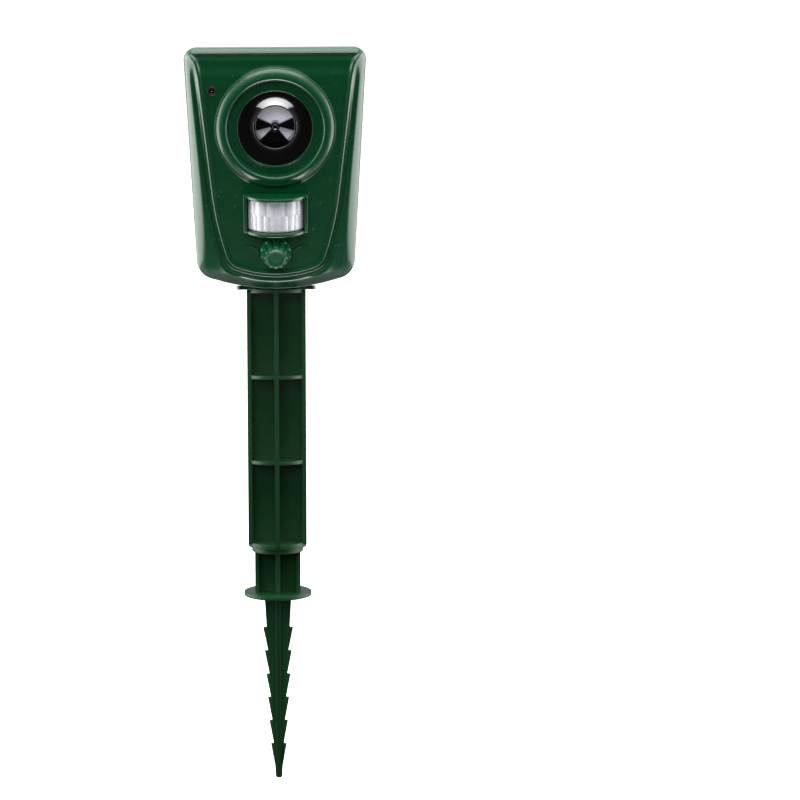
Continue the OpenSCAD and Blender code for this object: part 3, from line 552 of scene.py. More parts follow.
def extruded(outline, z0, z1):
    """Closed prism of a 2D outline, given anticlockwise."""
    n = len(outline)
    verts = [(x, y, z0) for x, y in outline] + [(x, y, z1) for x, y in outline]
    faces = [tuple(range(n - 1, -1, -1)), tuple(range(n, 2 * n))]
    faces += [(k, (k + 1) % n, n + (k + 1) % n, n + k) for k in range(n)]
    return verts, faces


def rounded_edges(obj, width, segments=3, angle_deg=35.0):
    mod = obj.modifiers.new("round", "BEVEL")
    mod.width = width * MM
    mod.segments = segments
    mod.limit_method = "ANGLE"
    mod.angle_limit = math.radians(angle_deg)
    mod.harden_normals = False
    mod.use_clamp_overlap = True
    return apply_modifiers(obj)


SPEAKER_V = 88.9
BEZEL_R = 33.6
HORN_R = 20.4
HORN_DEPTH = 11.0
THROAT_R = 11.2
WINDOW_V = 40.6
WINDOW_HALF_W = 16.3
WINDOW_H = 19.4
FRAME_T = 2.1
PLATE_T = 2.0
VISOR_OUT = 17.3
LIP_OUT = 12.5
LENS_OUT = 8.6
KNOB_BASE_R = 9.2
KNOB_TOP_R = 6.4
KNOB_H = 13.6
LED_X, LED_V, LED_HOLE_R = -35.1, 110.3, 2.35
SHAFT_HOLE_R = 3.8
# The bezel's crest, and the radius at which its inner slope meets the flat floor
CREST_R, CREST_N = 28.7, 4.3
DISH_RIM_R = 26.3
# Steps round the large circles, and how far cutters reach either side of the face
ROUND_STEPS = 160
CUT_N = 9.0


def bezel_profile():
    """Fat bead with a broad outer slope, a steep inner one, a flat floor and a thin lip."""
    foot_n = 0.5
    profile = [(BEZEL_R + 1.6, -1.6), (BEZEL_R + 0.9, -0.1), (BEZEL_R + 0.25, 0.2)]
    for a in np.linspace(0, 90, 20):
        across = math.cos(math.radians(a)) ** 1.3
        rise = math.sin(math.radians(a)) ** 1.3
        profile.append((CREST_R + (BEZEL_R - CREST_R) * across, foot_n + (CREST_N - foot_n) * rise))
    for a in np.linspace(8, 90, 14):
        across = math.sin(math.radians(a))
        rise = math.cos(math.radians(a))
        profile.append((CREST_R - (CREST_R - DISH_RIM_R) * across, 0.8 + (CREST_N - 0.8) * rise))
    profile += [(DISH_RIM_R - 0.15, 0.5), (HORN_R + 1.9, 0.45), (HORN_R + 1.5, 0.55)]
    profile += arc(HORN_R + 1.0, 0.75, 0.4, 0, 180, 8)
    profile += [(HORN_R + 0.6, -1.6)]
    return profile


def bowed_outline(half_chord, rise, steps=40):
    """Half-moon outline in local x, z: a chord behind the face and an arc in front of it."""
    r = (half_chord ** 2 + rise ** 2) / (2 * rise)
    half = math.degrees(math.asin(min(1.0, half_chord / r)))
    if rise > r:
        half = 180 - half
    points = [
        (r * math.sin(math.radians(a)), rise - r + r * math.cos(math.radians(a)))
        for a in np.linspace(half, -half, steps + 1)
    ]
    return [(half_chord, -1.6)] + points + [(-half_chord, -1.6)]


def bowed_plate(name, half_chord, rise, v0, v1, edge):
    """Plate square to the face that bows out of it, with a rounded rim."""
    outline = bowed_outline(half_chord, rise)
    verts, faces = extruded(outline, 0.0, v1 - v0)
    local = [(x, z, y) for x, y, z in verts]
    obj = placed(name, local, faces, face_matrix(v0))
    return rounded_edges(obj, edge, 3, 50.0)


def sensor_frame():
    v0, v1 = WINDOW_V - WINDOW_H / 2, WINDOW_V + WINDOW_H / 2
    half = WINDOW_HALF_W + FRAME_T
    visor = bowed_plate("visor", half, VISOR_OUT, v1, v1 + PLATE_T, 0.55)
    lip = bowed_plate("lip", half, LIP_OUT, v0 - PLATE_T, v0, 0.6)
    for side in (-1, 1):
        size = (FRAME_T, WINDOW_H + 3.0, 5.0)
        post = box_on_face("post", size, WINDOW_V, side * (WINDOW_HALF_W + FRAME_T / 2), 0.9)
        unite(visor, rounded_edges(post, 0.5, 3))
    return unite(visor, lip)


def spun_on_face(name, profile, steps, v, x=0.0):
    """Closed solid turned about an axis square to the face; the profile holds (radius, n)."""
    verts, faces = revolved(profile, steps)
    return placed(name, verts, faces, face_matrix(v, x))


def hole_in_face(x, v, r, steps=64):
    """Cylinder through the front wall, to be cut away."""
    return spun_on_face("hole", [(0, -CUT_N), (r, -CUT_N), (r, CUT_N), (0, CUT_N)], steps, v, x)


def box_on_face(name, size, v, x=0.0, n=0.0, centre_n=0.0):
    """Box square to the face."""
    box = make_box(name, (0, 0, centre_n), size)
    matrix = face_matrix(v, x, n)
    matrix.translation *= MM
    box.data.transform(matrix)
    return box


def head_parts():
    verts, faces = head_surface(EDGE_R, face_height)
    skin = outward(make_object("front_shell", verts, faces))
    verts, faces = head_surface(EDGE_R - WALL, fine=False)
    hollow = outward(make_object("hollow", verts, faces))
    verts, faces = head_surface(EDGE_R)
    plain = outward(make_object("rear_shell", verts, faces))
    roof = copy_of(plain, "roof_frame")

    front = combine(skin, split_cut(-SEAL_T / 2, True), "INTERSECT")
    cut(front, roof_cut(ROOF_T + ROOF_SEAM, True))
    cut(front, copy_of(hollow, "hollow_copy"))
    rear = combine(plain, split_cut(SEAL_T / 2, False), "INTERSECT")
    cut(rear, roof_cut(ROOF_T + ROOF_SEAM, True))
    cut(rear, hollow)
    cut(roof, roof_cut(ROOF_T, False))
    return front, rear, roof


def front_shell(front):
    unite(front, spun_on_face("bezel", bezel_profile(), ROUND_STEPS, SPEAKER_V))
    cut(front, hole_in_face(0, SPEAKER_V, HORN_R + 0.6, ROUND_STEPS))
    size = (2 * WINDOW_HALF_W, WINDOW_H, CUT_N)
    cut(front, box_on_face("window", size, WINDOW_V, centre_n=-CUT_N / 3))
    unite(front, sensor_frame())
    cut(front, hole_in_face(LED_X, LED_V, LED_HOLE_R))
    cut(front, hole_in_face(0, KNOB_V, SHAFT_HOLE_R))
    return front


NODES = frame["nodes"]
BODY_OF = {n: b for b, nodes in frame["record"]["behaviour"]["bodies"].items() for n in nodes}
SLOT_OF = {part["node"]: part["material_slot"] for part in frame["record"]["subparts"]}
WELD = 0.004


def softened(node, width_mm, segments=2, angle_deg=28.0, flat_deg=1.0):
    """Copy of a CAD node with its flat faces joined and its edges rounded as a mould leaves them."""
    mesh = NODES[node].data.copy()
    shading = [a.name for a in mesh.attributes if a.name in ("custom_normal", "sharp_edge")]
    for name in shading:
        mesh.attributes.remove(mesh.attributes[name])
    mesh.materials.clear()
    obj = linked(node + "_form", mesh)
    bm = bmesh.new()
    bm.from_mesh(mesh)
    bmesh.ops.remove_doubles(bm, verts=bm.verts, dist=WELD * MM)
    bmesh.ops.dissolve_limit(
        bm, angle_limit=math.radians(flat_deg), verts=bm.verts, edges=bm.edges,
        use_dissolve_boundaries=False, delimit=set(),
    )
    bmesh.ops.recalc_face_normals(bm, faces=bm.faces)
    bm.to_mesh(mesh)
    bm.free()
    if width_mm > 0:
        rounded_edges(obj, width_mm, segments, angle_deg)
    return shade(obj, 32.0)


def spun_along_y(name, x, z, profile, steps=48):
    """Closed solid turned about an axis along y; the profile holds (radius, y)."""
    verts, faces = revolved(profile, steps)
    return outward(make_object(name, [(x + a, c, z - b) for a, b, c in verts], faces))


def cylinder_along_y(name, x, z, y0, y1, r):
    return spun_along_y(name, x, z, [(0, y0), (r, y0), (r, y1), (0, y1)])


# ---------- Rear shell and roof ----------

DOOR_LOW, DOOR_HIGH = box_mm("battery_door")
DOOR_MID_Z = (DOOR_LOW[2] + DOOR_HIGH[2]) / 2
HATCH_HALF_W, HATCH_H = 31.0, 47.0
# Each housing screw's distance from the middle, height and the y of its head's seat
SCREW_PLACES = ((35.0, 201.0, 12.4), (40.5, 301.0, -5.0))
SCREW_RECESS_R, SCREW_BOSS_R = 3.3, 4.4
# Cone at the mouth of each screw's recess, as (radius, y)
SCREW_LEAD_IN = ((0, 20.2), (3.35, 20.2), (4.2, 21.4), (0, 21.4))
DOOR_SCREW_X, DOOR_SCREW_HOLE_R = 37.5, 1.45
PIN_HOLE_R = 0.75
SWITCH_X, SWITCH_Z, SLOT_W, SLOT_H = -22.0, 213.0, 8.6, 4.0
JACK_X, JACK_Z, JACK_HOLE_R = 22.0, 213.0, 4.2
HINGE_Y, HINGE_Z = REAR_Y + 1.3, JACK_Z + 8.0
EAR_GAP, EAR_T, EAR_R = 5.0, 1.3, 1.7
SOCKET_LOW, SOCKET_HIGH = box_mm("stake_socket")
SOCKET_TUBE_ROOM = (32.4, 22.4, 28.0)


def hinge_ear(x):
    """Ear that carries the jack cover's pin: a round eye on a foot that runs into the wall."""
    outline = arc(HINGE_Y, HINGE_Z, EAR_R, -90, 90, 16)
    outline += [(REAR_Y - 1.0, HINGE_Z + EAR_R), (REAR_Y - 1.0, HINGE_Z - EAR_R)]
    verts, faces = extruded(outline, x - EAR_T / 2, x + EAR_T / 2)
    ear = outward(make_object("ear", [(c, a, b) for a, b, c in verts], faces))
    rounded_edges(ear, 0.2, 2)
    profile = [(0, x - 3), (PIN_HOLE_R, x - 3), (PIN_HOLE_R, x + 3), (0, x + 3)]
    verts, faces = revolved(profile, 24)
    turned = [(c, HINGE_Y + a, HINGE_Z + b) for a, b, c in verts]
    return cut(ear, outward(make_object("hole", turned, faces)))


def socket_rooms():
    """Room for the stake socket in the underside: its flat collar, then its tube."""
    collar = (2 * SOCKET_HIGH[0] + 0.6, 2 * SOCKET_HIGH[1] + 0.6, 5.0)
    for lift, size in ((0.0, collar), (8.0, SOCKET_TUBE_ROOM)):
        yield rounded_edges(make_box("room", (0, 0, SOCKET_LOW[2] + lift), size), 3.0, 4)


def rear_shell(rear):
    thick = 2 * WALL
    wall_y = REAR_Y - WALL / 2
    hatch = make_box("hatch", (0, wall_y, DOOR_MID_Z), (2 * HATCH_HALF_W, thick, HATCH_H))
    cut(rear, rounded_edges(hatch, 1.2, 4))
    slot = make_box("slot", (SWITCH_X, wall_y, SWITCH_Z), (SLOT_W, thick, SLOT_H))
    cut(rear, rounded_edges(slot, 0.6, 3))
    cut(rear, cylinder_along_y("hole", JACK_X, JACK_Z, 15, 25, JACK_HOLE_R))
    for x, z, seat_y in SCREW_PLACES:
        for side in (-1, 1):
            place = (side * x, z)
            boss = cylinder_along_y("boss", *place, seat_y - 4, REAR_Y - WALL + 0.5, SCREW_BOSS_R)
            unite(rear, boss)
            recess = cylinder_along_y("recess", *place, seat_y, REAR_Y + 2, SCREW_RECESS_R)
            cut(rear, recess)
            cut(rear, spun_along_y("lead_in", *place, SCREW_LEAD_IN))
    for side in (-1, 1):
        x = side * DOOR_SCREW_X
        hole = cylinder_along_y("hole", x, DOOR_MID_Z, REAR_Y - 8, REAR_Y + 2, DOOR_SCREW_HOLE_R)
        cut(rear, hole)
        unite(rear, hinge_ear(JACK_X + side * (EAR_GAP + EAR_T) / 2))
    for room in socket_rooms():
        cut(rear, room)
    return rear


PANEL_W, PANEL_LEN, PANEL_DEPTH = 80.0, 62.0, 3.0
ROOF_LEN = (REAR_Y - EDGE_R - FRONT_TOP[1]) / math.cos(ROOF_SLOPE)
CELLS, BUSBAR_OFF = 6, 2.6
# Top of the cells over the roof's ball centres: on a 1.4 mm board, in 0.4 mm silicon
CELL_TOP = EDGE_R - PANEL_DEPTH + 1.4 + 0.4


def roof_frame(roof):
    size = (PANEL_W + 0.6, PANEL_LEN + 0.6, 20.0)
    centre = (0, ROOF_LEN / 2, EDGE_R - PANEL_DEPTH + 10.0)
    recess = make_box("recess", centre, size, rotation_x(-ROOF_SLOPE), tuple(FRONT_TOP))
    rounded_edges(recess, 0.8, 3)
    return cut(roof, recess)


def cell_strips():
    """Silver busbars on the solar cells, two to a cell."""
    pitch = (PANEL_W - 6.0) / CELLS
    size = (0.9, PANEL_LEN - 7.0, 0.16)
    strips = None
    for k in range(CELLS):
        for off in (-BUSBAR_OFF, BUSBAR_OFF):
            centre = ((k - (CELLS - 1) / 2) * pitch + off, ROOF_LEN / 2, CELL_TOP)
            strip = make_box("strip", centre, size, rotation_x(-ROOF_SLOPE), tuple(FRONT_TOP))
            strips = strip if strips is None else join(strips, strip)
    return rounded_edges(strips, 0.05, 1)


def join(obj, other):
    """Adds another object's mesh to this one; the other is used up."""
    bm = bmesh.new()
    bm.from_mesh(obj.data)
    bm.from_mesh(other.data)
    bm.to_mesh(obj.data)
    bm.free()
    use_up(other)
    return obj


# ---------- Speaker ----------

DISH_W = 8.0


def dish(t):
    """Radius and n of the horn's shallow dish from its mouth (0) to the throat's edge (1)."""
    start, end = math.tan(math.radians(9)), math.tan(math.radians(29))
    return HORN_R - 0.1 - DISH_W * t, -0.8 - DISH_W * (start * t + (end - start) * t * t / 2)


def speaker_horn():
    edge_r, edge_n = dish(1.0)
    profile = [(HORN_R + 0.4, -1.4), (HORN_R + 0.3, -0.95), (HORN_R + 0.1, -0.8)]
    profile += [dish(t) for t in np.linspace(0.02, 1, 30)]
    profile += [(edge_r - 0.35, edge_n - 0.3), (edge_r - 0.6, edge_n - 0.7)]
    profile += [(edge_r - 0.85, edge_n - 2.0), (THROAT_R, -HORN_DEPTH)]
    profile += [(THROAT_R, -HORN_DEPTH - 3.6), (THROAT_R + 1.4, -HORN_DEPTH - 3.6)]
    profile += [(THROAT_R + 1.6, -HORN_DEPTH - 0.6)]
    profile += [(HORN_R - 1.2, -7.0), (24.6, -5.0), (24.6, -3.4), (HORN_R + 0.4, -3.2)]
    return shade(spun_on_face("horn", profile, ROUND_STEPS, SPEAKER_V), 40)


# Vanes of the phase plug: the angle of each one's middle and its half width, in degrees
VANES = ((4.0, 19.0), (176.0, 19.0), (267.0, 43.0))
# Places out of the face: the vanes' front at the wall and the hub's tip
VANE_FRONT = -8.6
PLUG_R, PLUG_TOP = 2.7, -2.9


def vane(middle, half):
    """Wedge between the hub and the horn's wall, with its front sloping back outwards."""
    rings, back = 24, -HORN_DEPTH - 1.0
    outer_r, inner_r = THROAT_R - 0.2, 0.6
    profile = [(inner_r, back), (outer_r, back), (outer_r, VANE_FRONT), (inner_r, VANE_FRONT + 0.4)]
    verts = []
    for a in np.linspace(middle - half, middle + half, rings + 1):
        c, s = math.cos(math.radians(a)), math.sin(math.radians(a))
        verts += [(r * c, r * s, n) for r, n in profile]
    cols = len(profile)
    faces = grid_faces(rings + 1, cols)
    faces += [tuple(range(cols)), tuple(range(rings * cols + cols - 1, rings * cols - 1, -1))]
    obj = placed("vane", verts, faces, face_matrix(SPEAKER_V))
    return rounded_edges(obj, 0.35, 3, 40.0)


def phase_plug():
    tip = arc(0, PLUG_TOP - PLUG_R, PLUG_R, 90, 0, 14)
    profile = [(abs(r), n) for r, n in tip] + [(PLUG_R, -HORN_DEPTH - 1.0), (0, -HORN_DEPTH - 1.0)]
    plug = spun_on_face("plug", profile, 64, SPEAKER_V)
    for middle, half in VANES:
        unite(plug, vane(middle, half))
    return shade(plug, 40)


def speaker_diaphragm():
    """Light cone with rolled rings, seen between the vanes."""
    base = -HORN_DEPTH - 3.4
    profile = [(0, base + 2.6), (1.6, base + 2.5), (3.0, base + 2.1), (6.6, base + 1.0)]
    profile += [(7.4, base + 1.2), (8.2, base + 0.9), (9.0, base + 1.25), (9.8, base + 0.9)]
    profile += [(THROAT_R - 0.1, base + 0.9), (THROAT_R - 0.1, base), (0, base)]
    obj = spun_on_face("cone", profile, 96, SPEAKER_V)
    return shade(rounded_edges(obj, 0.25, 2, 12.0), 60)


# ---------- Motion sensor lens ----------

LENS_HALF_W = WINDOW_HALF_W - 0.2
LENS_T, LENS_FOOT = 1.2, 1.0
# Share of the lens's sweep at which each row's facets part
UPPER_FACETS = (0.0, 0.17, 0.36, 0.64, 0.83, 1.0)
LOWER_FACETS = (0.0, 0.11, 0.2, 0.31, 0.42, 0.58, 0.69, 0.8, 0.89, 1.0)


def facet_bulge(share, edges, rise):
    """Height of the shallow cylinder lens that a place on the sweep lies on."""
    for a, b in zip(edges, edges[1:]):
        if a <= share <= b:
            t = (share - a) / (b - a)
            return rise * (1 - (2 * t - 1) ** 2)
    return 0.0


def lens_ring(v, v0, v1, split):
    """Outline of the lens at one height, as (x, v, n): faceted front, feet and smooth back."""
    r = (LENS_HALF_W ** 2 + LENS_OUT ** 2) / (2 * LENS_OUT)
    half = math.asin(LENS_HALF_W / r)
    edges, rise = (UPPER_FACETS, 0.5) if v > split else (LOWER_FACETS, 0.4)
    # Curved top and bottom rims
    rim = min(v - v0, v1 - v)
    inset = 0.35 * max(0.0, 1 - rim / 0.5) ** 2

    def swept(out, angle):
        return out * math.sin(angle), v, out * math.cos(angle) + LENS_OUT - r

    ring = []
    for share in np.linspace(0, 1, 181):
        out = r - inset + facet_bulge(share, edges, rise) - 0.4
        ring.append(swept(out, half * (1 - 2 * share)))
    foot_n = -WALL + 0.1
    ring += [(-LENS_HALF_W, v, foot_n), (-LENS_HALF_W + LENS_FOOT, v, foot_n)]
    ring += [swept(r - LENS_T, a) for a in np.linspace(-(half - 0.06), half - 0.06, 41)]
    ring += [(LENS_HALF_W - LENS_FOOT, v, foot_n), (LENS_HALF_W, v, foot_n)]
    return ring


def pir_lens():
    v0, v1 = WINDOW_V - WINDOW_H / 2 + 0.2, WINDOW_V + WINDOW_H / 2 - 0.2
    split = WINDOW_V - 0.3
    rows = list(np.linspace(v0, split - 0.12, 14)) + list(np.linspace(split + 0.12, v1, 14))
    rings = [lens_ring(v, v0, v1, split) for v in rows]
    cols = len(rings[0])
    verts = [point for ring in rings for point in ring]
    faces = grid_faces(len(rows), cols)
    faces += [tuple(range(cols)), tuple(range(len(rows) * cols - 1, (len(rows) - 1) * cols - 1, -1))]
    obj = placed("lens", verts, faces, face_matrix())
    return shade(obj, 24)


# ---------- Light ----------

def led_holder():
    profile = [(1.6, -4.6), (LED_HOLE_R - 0.1, -4.6), (LED_HOLE_R - 0.1, 0.2)]
    profile += [(LED_HOLE_R + 0.3, 0.15)] + arc(LED_HOLE_R + 0.1, 0.35, 0.3, 0, 90, 5)
    profile += arc(1.9, 0.35, 0.3, 90, 180, 5) + [(1.6, 0.1)]
    return shade(spun_on_face("holder", profile, 64, LED_V, LED_X), 35)


def indicator_led():
    dome = [(abs(r), n) for r, n in arc(0, -1.4, 1.5, 90, 0, 12)]
    profile = dome + [(1.5, -5.6), (1.9, -5.6), (1.9, -6.6), (0, -6.6)]
    return shade(spun_on_face("led", profile, 48, LED_V, LED_X), 35)


# ---------- Knob ----------

FLUTES = 12
FLUTE_DEPTH = 1.0


def sensitivity_knob():
    """Tapered knob with flutes down its flank and a dished front."""
    slope = (KNOB_BASE_R - KNOB_TOP_R) / (KNOB_H - 0.8)
    stations = [(0.8, KNOB_BASE_R - 0.25, 0), (1.0, KNOB_BASE_R, 0), (2.4, KNOB_BASE_R - 0.25, 0)]
    for n in np.linspace(2.7, KNOB_H - 0.7, 20):
        grow = float(smooth_step((n - 2.6) / 1.4))
        stations.append((n, KNOB_BASE_R - slope * (n - 0.8), grow))
    stations += [(KNOB_H - 0.35, KNOB_TOP_R - 0.05, 0.95), (KNOB_H - 0.08, KNOB_TOP_R - 0.35, 0.75)]
    stations += [(KNOB_H, KNOB_TOP_R - 0.75, 0.4), (KNOB_H - 0.05, KNOB_TOP_R - 1.05, 0.1)]
    stations += [(KNOB_H - 0.4, KNOB_TOP_R - 1.35, 0), (KNOB_H - 0.62, KNOB_TOP_R - 1.8, 0)]
    stations += [(KNOB_H - 0.6, 2.4, 0)]
    steps, verts = 288, []
    for n, r, grow in stations:
        for k in range(steps):
            a = 2 * math.pi * k / steps
            wave = (0.5 + 0.5 * math.cos(FLUTES * a + math.pi)) ** 2.2
            radius = r - FLUTE_DEPTH * grow * wave
            verts.append((radius * math.cos(a), radius * math.sin(a), n))
    faces = grid_faces(len(stations), steps)
    verts += [(0.0, 0.0, KNOB_H - 0.55), (0.0, 0.0, 0.8)]
    tip, back = len(verts) - 2, len(verts) - 1
    last = (len(stations) - 1) * steps
    for k in range(steps):
        j = (k + 1) % steps
        faces.append((last + k, last + j, tip))
        faces.append((back, j, k))
    obj = placed("knob", verts, faces, face_matrix(KNOB_V))
    return shade(obj, 38)


MARK_X, MARK_V, MARK_R, MARK_SQUASH = 17.4, 16.6, 7.4, 0.62
MARK_START, MARK_TURN = 200.0, -118.0
# Rounded section of a mark: share of the half width, and height over the face
MARK_SECTION = ((-1, -0.6), (1, -0.6), (0.85, 0.35), (0.4, 0.8), (-0.4, 0.8), (-0.85, 0.35))


def swoosh(side):
    """Raised mark beside the knob: an arc that thickens towards a blunt head."""
    verts, steps = [], 26
    for k in range(steps + 1):
        t = k / steps
        a = math.radians(MARK_START + MARK_TURN * t)
        nx, nv = math.cos(a), math.sin(a)
        x, v = MARK_X + MARK_R * nx, MARK_V + MARK_SQUASH * MARK_R * nv
        half = 0.25 + 0.75 * math.sin(math.pi * min(1.0, t * 1.15)) ** 0.8
        for share, n in MARK_SECTION:
            verts.append((side * (x + share * half * nx), v + share * half * nv, n))
    cols = len(MARK_SECTION)
    faces = grid_faces(steps + 1, cols)
    faces += [tuple(range(cols)), tuple(cols * steps + k for k in reversed(range(cols)))]
    return placed("swoosh", verts, faces, face_matrix())


# ---------- Materials ----------

MATERIALS = {}


class Nodes:
    """Small builder for a procedural material around one Principled shader, kept by its name."""

    def __init__(self, name):
        self.material = bpy.data.materials.new(name)
        MATERIALS[name] = self.material
        self.material.use_nodes = True
        self.tree = self.material.node_tree
        self.shader = self.tree.nodes["Principled BSDF"]
        self.place = self.tree.nodes.new("ShaderNodeTexCoord").outputs["Object"]

    def link(self, source, target):
        self.tree.links.new(source, target)

    def add(self, kind, vector=None, **inputs):
        """New node with its inputs set by name, with _ for each space."""
        node = self.tree.nodes.new("ShaderNode" + kind)
        for name, value in inputs.items():
            node.inputs[name.replace("_", " ")].default_value = value
        if vector is not None:
            self.link(vector, node.inputs["Vector"])
        return node

    def stretched(self, stretch):
        if stretch is None:
            return self.place
        return self.add("Mapping", self.place, Scale=stretch).outputs["Vector"]

    def noise(self, scale, detail=3.0, rough=0.5, stretch=None):
        place = self.stretched(stretch)
        node = self.add("TexNoise", place, Scale=scale, Detail=detail, Roughness=rough)
        return node.outputs["Fac"]

    def cells(self, scale, feature="F1", stretch=None):
        node = self.add("TexVoronoi", self.stretched(stretch), Scale=scale)
        node.feature = feature
        return node.outputs["Distance"]

    def bands(self, scale, axis, distortion=0.0):
        node = self.add("TexWave", self.place, Scale=scale, Distortion=distortion)
        node.bands_direction = axis
        return node.outputs["Fac"]

    def ramp(self, source, stops):
        """Colour ramp: stops are (position, linear colour)."""
        node = self.add("ValToRGB")
        ramp = node.color_ramp
        while len(ramp.elements) < len(stops):
            ramp.elements.new(0.5)
        for element, (position, colour) in zip(ramp.elements, stops):
            element.position = position
            element.color = (*colour, 1.0)
        self.link(source, node.inputs["Fac"])
        return node.outputs["Color"]

    def span(self, source, low, high, start=0.0, end=1.0):
        node = self.add("MapRange", From_Min=start, From_Max=end, To_Min=low, To_Max=high)
        self.link(source, node.inputs["Value"])
        return node.outputs["Result"]

    def bump(self, height, depth_mm, strength=1.0, before=None):
        node = self.add("Bump", Strength=strength, Distance=depth_mm * MM)
        self.link(height, node.inputs["Height"])
        if before is not None:
            self.link(before, node.inputs["Normal"])
        return node.outputs["Normal"]

    def set(self, **values):
        """Plain values of the shader's inputs, with _ for each space."""
        for name, value in values.items():
            self.shader.inputs[name.replace("_", " ")].default_value = value

    def mottled(self, source, dark, light, start=0.3, end=0.7):
        """Base colour that drifts between two tones."""
        tones = self.ramp(source, [(start, dark), (end, light)])
        self.colour(tones)
        return tones

    def glow(self, output, strength):
        self.link(output, self.shader.inputs["Emission Color"])
        self.set(Emission_Strength=strength)

    def colour(self, output):
        self.link(output, self.shader.inputs["Base Color"])

    def roughness(self, output):
        self.link(output, self.shader.inputs["Roughness"])

    def normal(self, output):
        self.link(output, self.shader.inputs["Normal"])


def tinted(colour, factor):
    return tuple(c * factor for c in colour)


def moulded(
    name, colour, rough, grain_mm, grain_depth, flow=None, coat=0.0, spread=0.1, specular=0.5,
):
    """Injection-moulded plastic: slow colour drift, fine spark grain and faint sink waves."""
    n = Nodes(name)
    drift = n.noise(28.0, 4.0, 0.55, flow)
    n.mottled(drift, tinted(colour, 1 - spread), tinted(colour, 1 + spread))
    fine = n.noise(1000.0 / grain_mm, 2.0, 0.6)
    patch = n.noise(160.0, 3.0, 0.6, flow)
    n.roughness(n.span(patch, rough - 0.025, rough + 0.03, 0.3, 0.7))
    waves = n.bump(n.noise(45.0, 1.0, 0.3, flow), 0.01, 0.3)
    n.normal(n.bump(fine, grain_depth, 1.0, waves))
    n.set(Coat_Weight=coat, Coat_Roughness=0.12, Specular_IOR_Level=specular)


def rubber(name):
    n = Nodes(name)
    n.mottled(n.noise(300.0, 4.0), (0.006, 0.006, 0.006), (0.02, 0.02, 0.02), end=0.75)
    n.roughness(n.span(n.noise(700.0, 2.0), 0.62, 0.85))
    n.normal(n.bump(n.noise(2600.0, 2.0), 0.02))
    n.set(Specular_IOR_Level=0.3)


def gloss_black():
    n = Nodes("gloss_black")
    n.mottled(n.noise(60.0, 3.0), (0.0016, 0.0016, 0.002), (0.003, 0.003, 0.0036))
    n.roughness(n.span(n.noise(240.0, 3.0), 0.07, 0.13))
    n.normal(n.bump(n.noise(90.0, 2.0), 0.02, 0.4))
    n.set(Coat_Weight=0.5, Coat_Roughness=0.04, Specular_IOR_Level=0.5)


def metal(name, colour, rough, stretch=(1.0, 1.0, 14.0), scale=900.0, depth=0.006):
    """Metal with fine drawn lines and a little staining."""
    n = Nodes(name)
    n.mottled(n.noise(180.0, 4.0, 0.6), tinted(colour, 0.82), colour, 0.25, 0.75)
    lines = n.noise(scale, 3.0, 0.6, stretch)
    n.roughness(n.span(lines, rough - 0.08, rough + 0.1, 0.3, 0.7))
    n.normal(n.bump(lines, depth))
    n.set(Metallic=1.0)


def lens_plastic():
    """Milky polyethylene that lets light through, with the faint rings of the facets."""
    n = Nodes("lens_plastic")
    n.mottled(n.noise(70.0, 4.0, 0.6), (0.66, 0.67, 0.74), (0.78, 0.79, 0.85))
    n.roughness(n.span(n.noise(350.0, 2.0), 0.22, 0.34))
    rings = n.bands(260.0, "Z", 0.4)
    n.normal(n.bump(rings, 0.03, 0.5, n.bump(n.noise(1500.0, 2.0), 0.008)))
    n.set(Subsurface_Weight=0.12, Subsurface_Radius=(1.0, 1.0, 1.0), Subsurface_Scale=0.002)
    n.set(Specular_IOR_Level=0.55)


def solar_cells():
    """Polycrystalline silicon: facets of blue with fine silver fingers."""
    n = Nodes("solar_cells")
    grains = n.cells(420.0)
    crystal = n.ramp(grains, [(0.0, (0.004, 0.010, 0.06)), (1.0, (0.016, 0.035, 0.15))])
    fingers = n.bands(180.0, "Y")
    mask = n.ramp(fingers, [(0.93, (0.0, 0.0, 0.0)), (0.97, (1.0, 1.0, 1.0))])
    mix = n.add("Mix")
    mix.data_type = "RGBA"
    mix.inputs["B"].default_value = (0.34, 0.36, 0.4, 1.0)
    n.link(mask, mix.inputs["Factor"])
    n.link(crystal, mix.inputs["A"])
    n.colour(mix.outputs["Result"])
    n.roughness(n.span(grains, 0.18, 0.42))
    n.normal(n.bump(fingers, 0.01, 0.4))
    n.set(Coat_Weight=0.3, Coat_Roughness=0.06)


def circuit_board():
    """Solder mask with copper runs showing as lighter green under it."""
    n = Nodes("circuit_board")
    lines = n.cells(150.0, "DISTANCE_TO_EDGE", (1.0, 1.0, 2.4))
    n.mottled(lines, (0.02, 0.17, 0.06), (0.005, 0.06, 0.022), 0.04, 0.07)
    n.roughness(n.span(n.noise(500.0), 0.22, 0.4))
    n.normal(n.bump(lines, 0.03, 0.5))
    n.set(Coat_Weight=0.3)


def wrapped(name, low, high, rough, axis="X", scale=60.0):
    """Printed or taped sleeve with soft bands and small wrinkles."""
    n = Nodes(name)
    n.mottled(n.bands(scale, axis, 0.6), low, high, 0.2, 0.8)
    n.roughness(n.span(n.noise(300.0, 3.0), rough - 0.06, rough + 0.08))
    n.normal(n.bump(n.noise(220.0, 3.0, 0.6), 0.04, 0.6))
    n.set(Coat_Weight=0.2)


def clear_cover():
    n = Nodes("clear_cover")
    haze = n.noise(90.0, 4.0, 0.6)
    n.mottled(haze, (0.02, 0.025, 0.03), (0.035, 0.04, 0.045))
    n.roughness(n.span(haze, 0.04, 0.1))
    n.normal(n.bump(n.noise(40.0, 2.0), 0.02, 0.5))
    n.set(Alpha=0.35, Specular_IOR_Level=0.6)


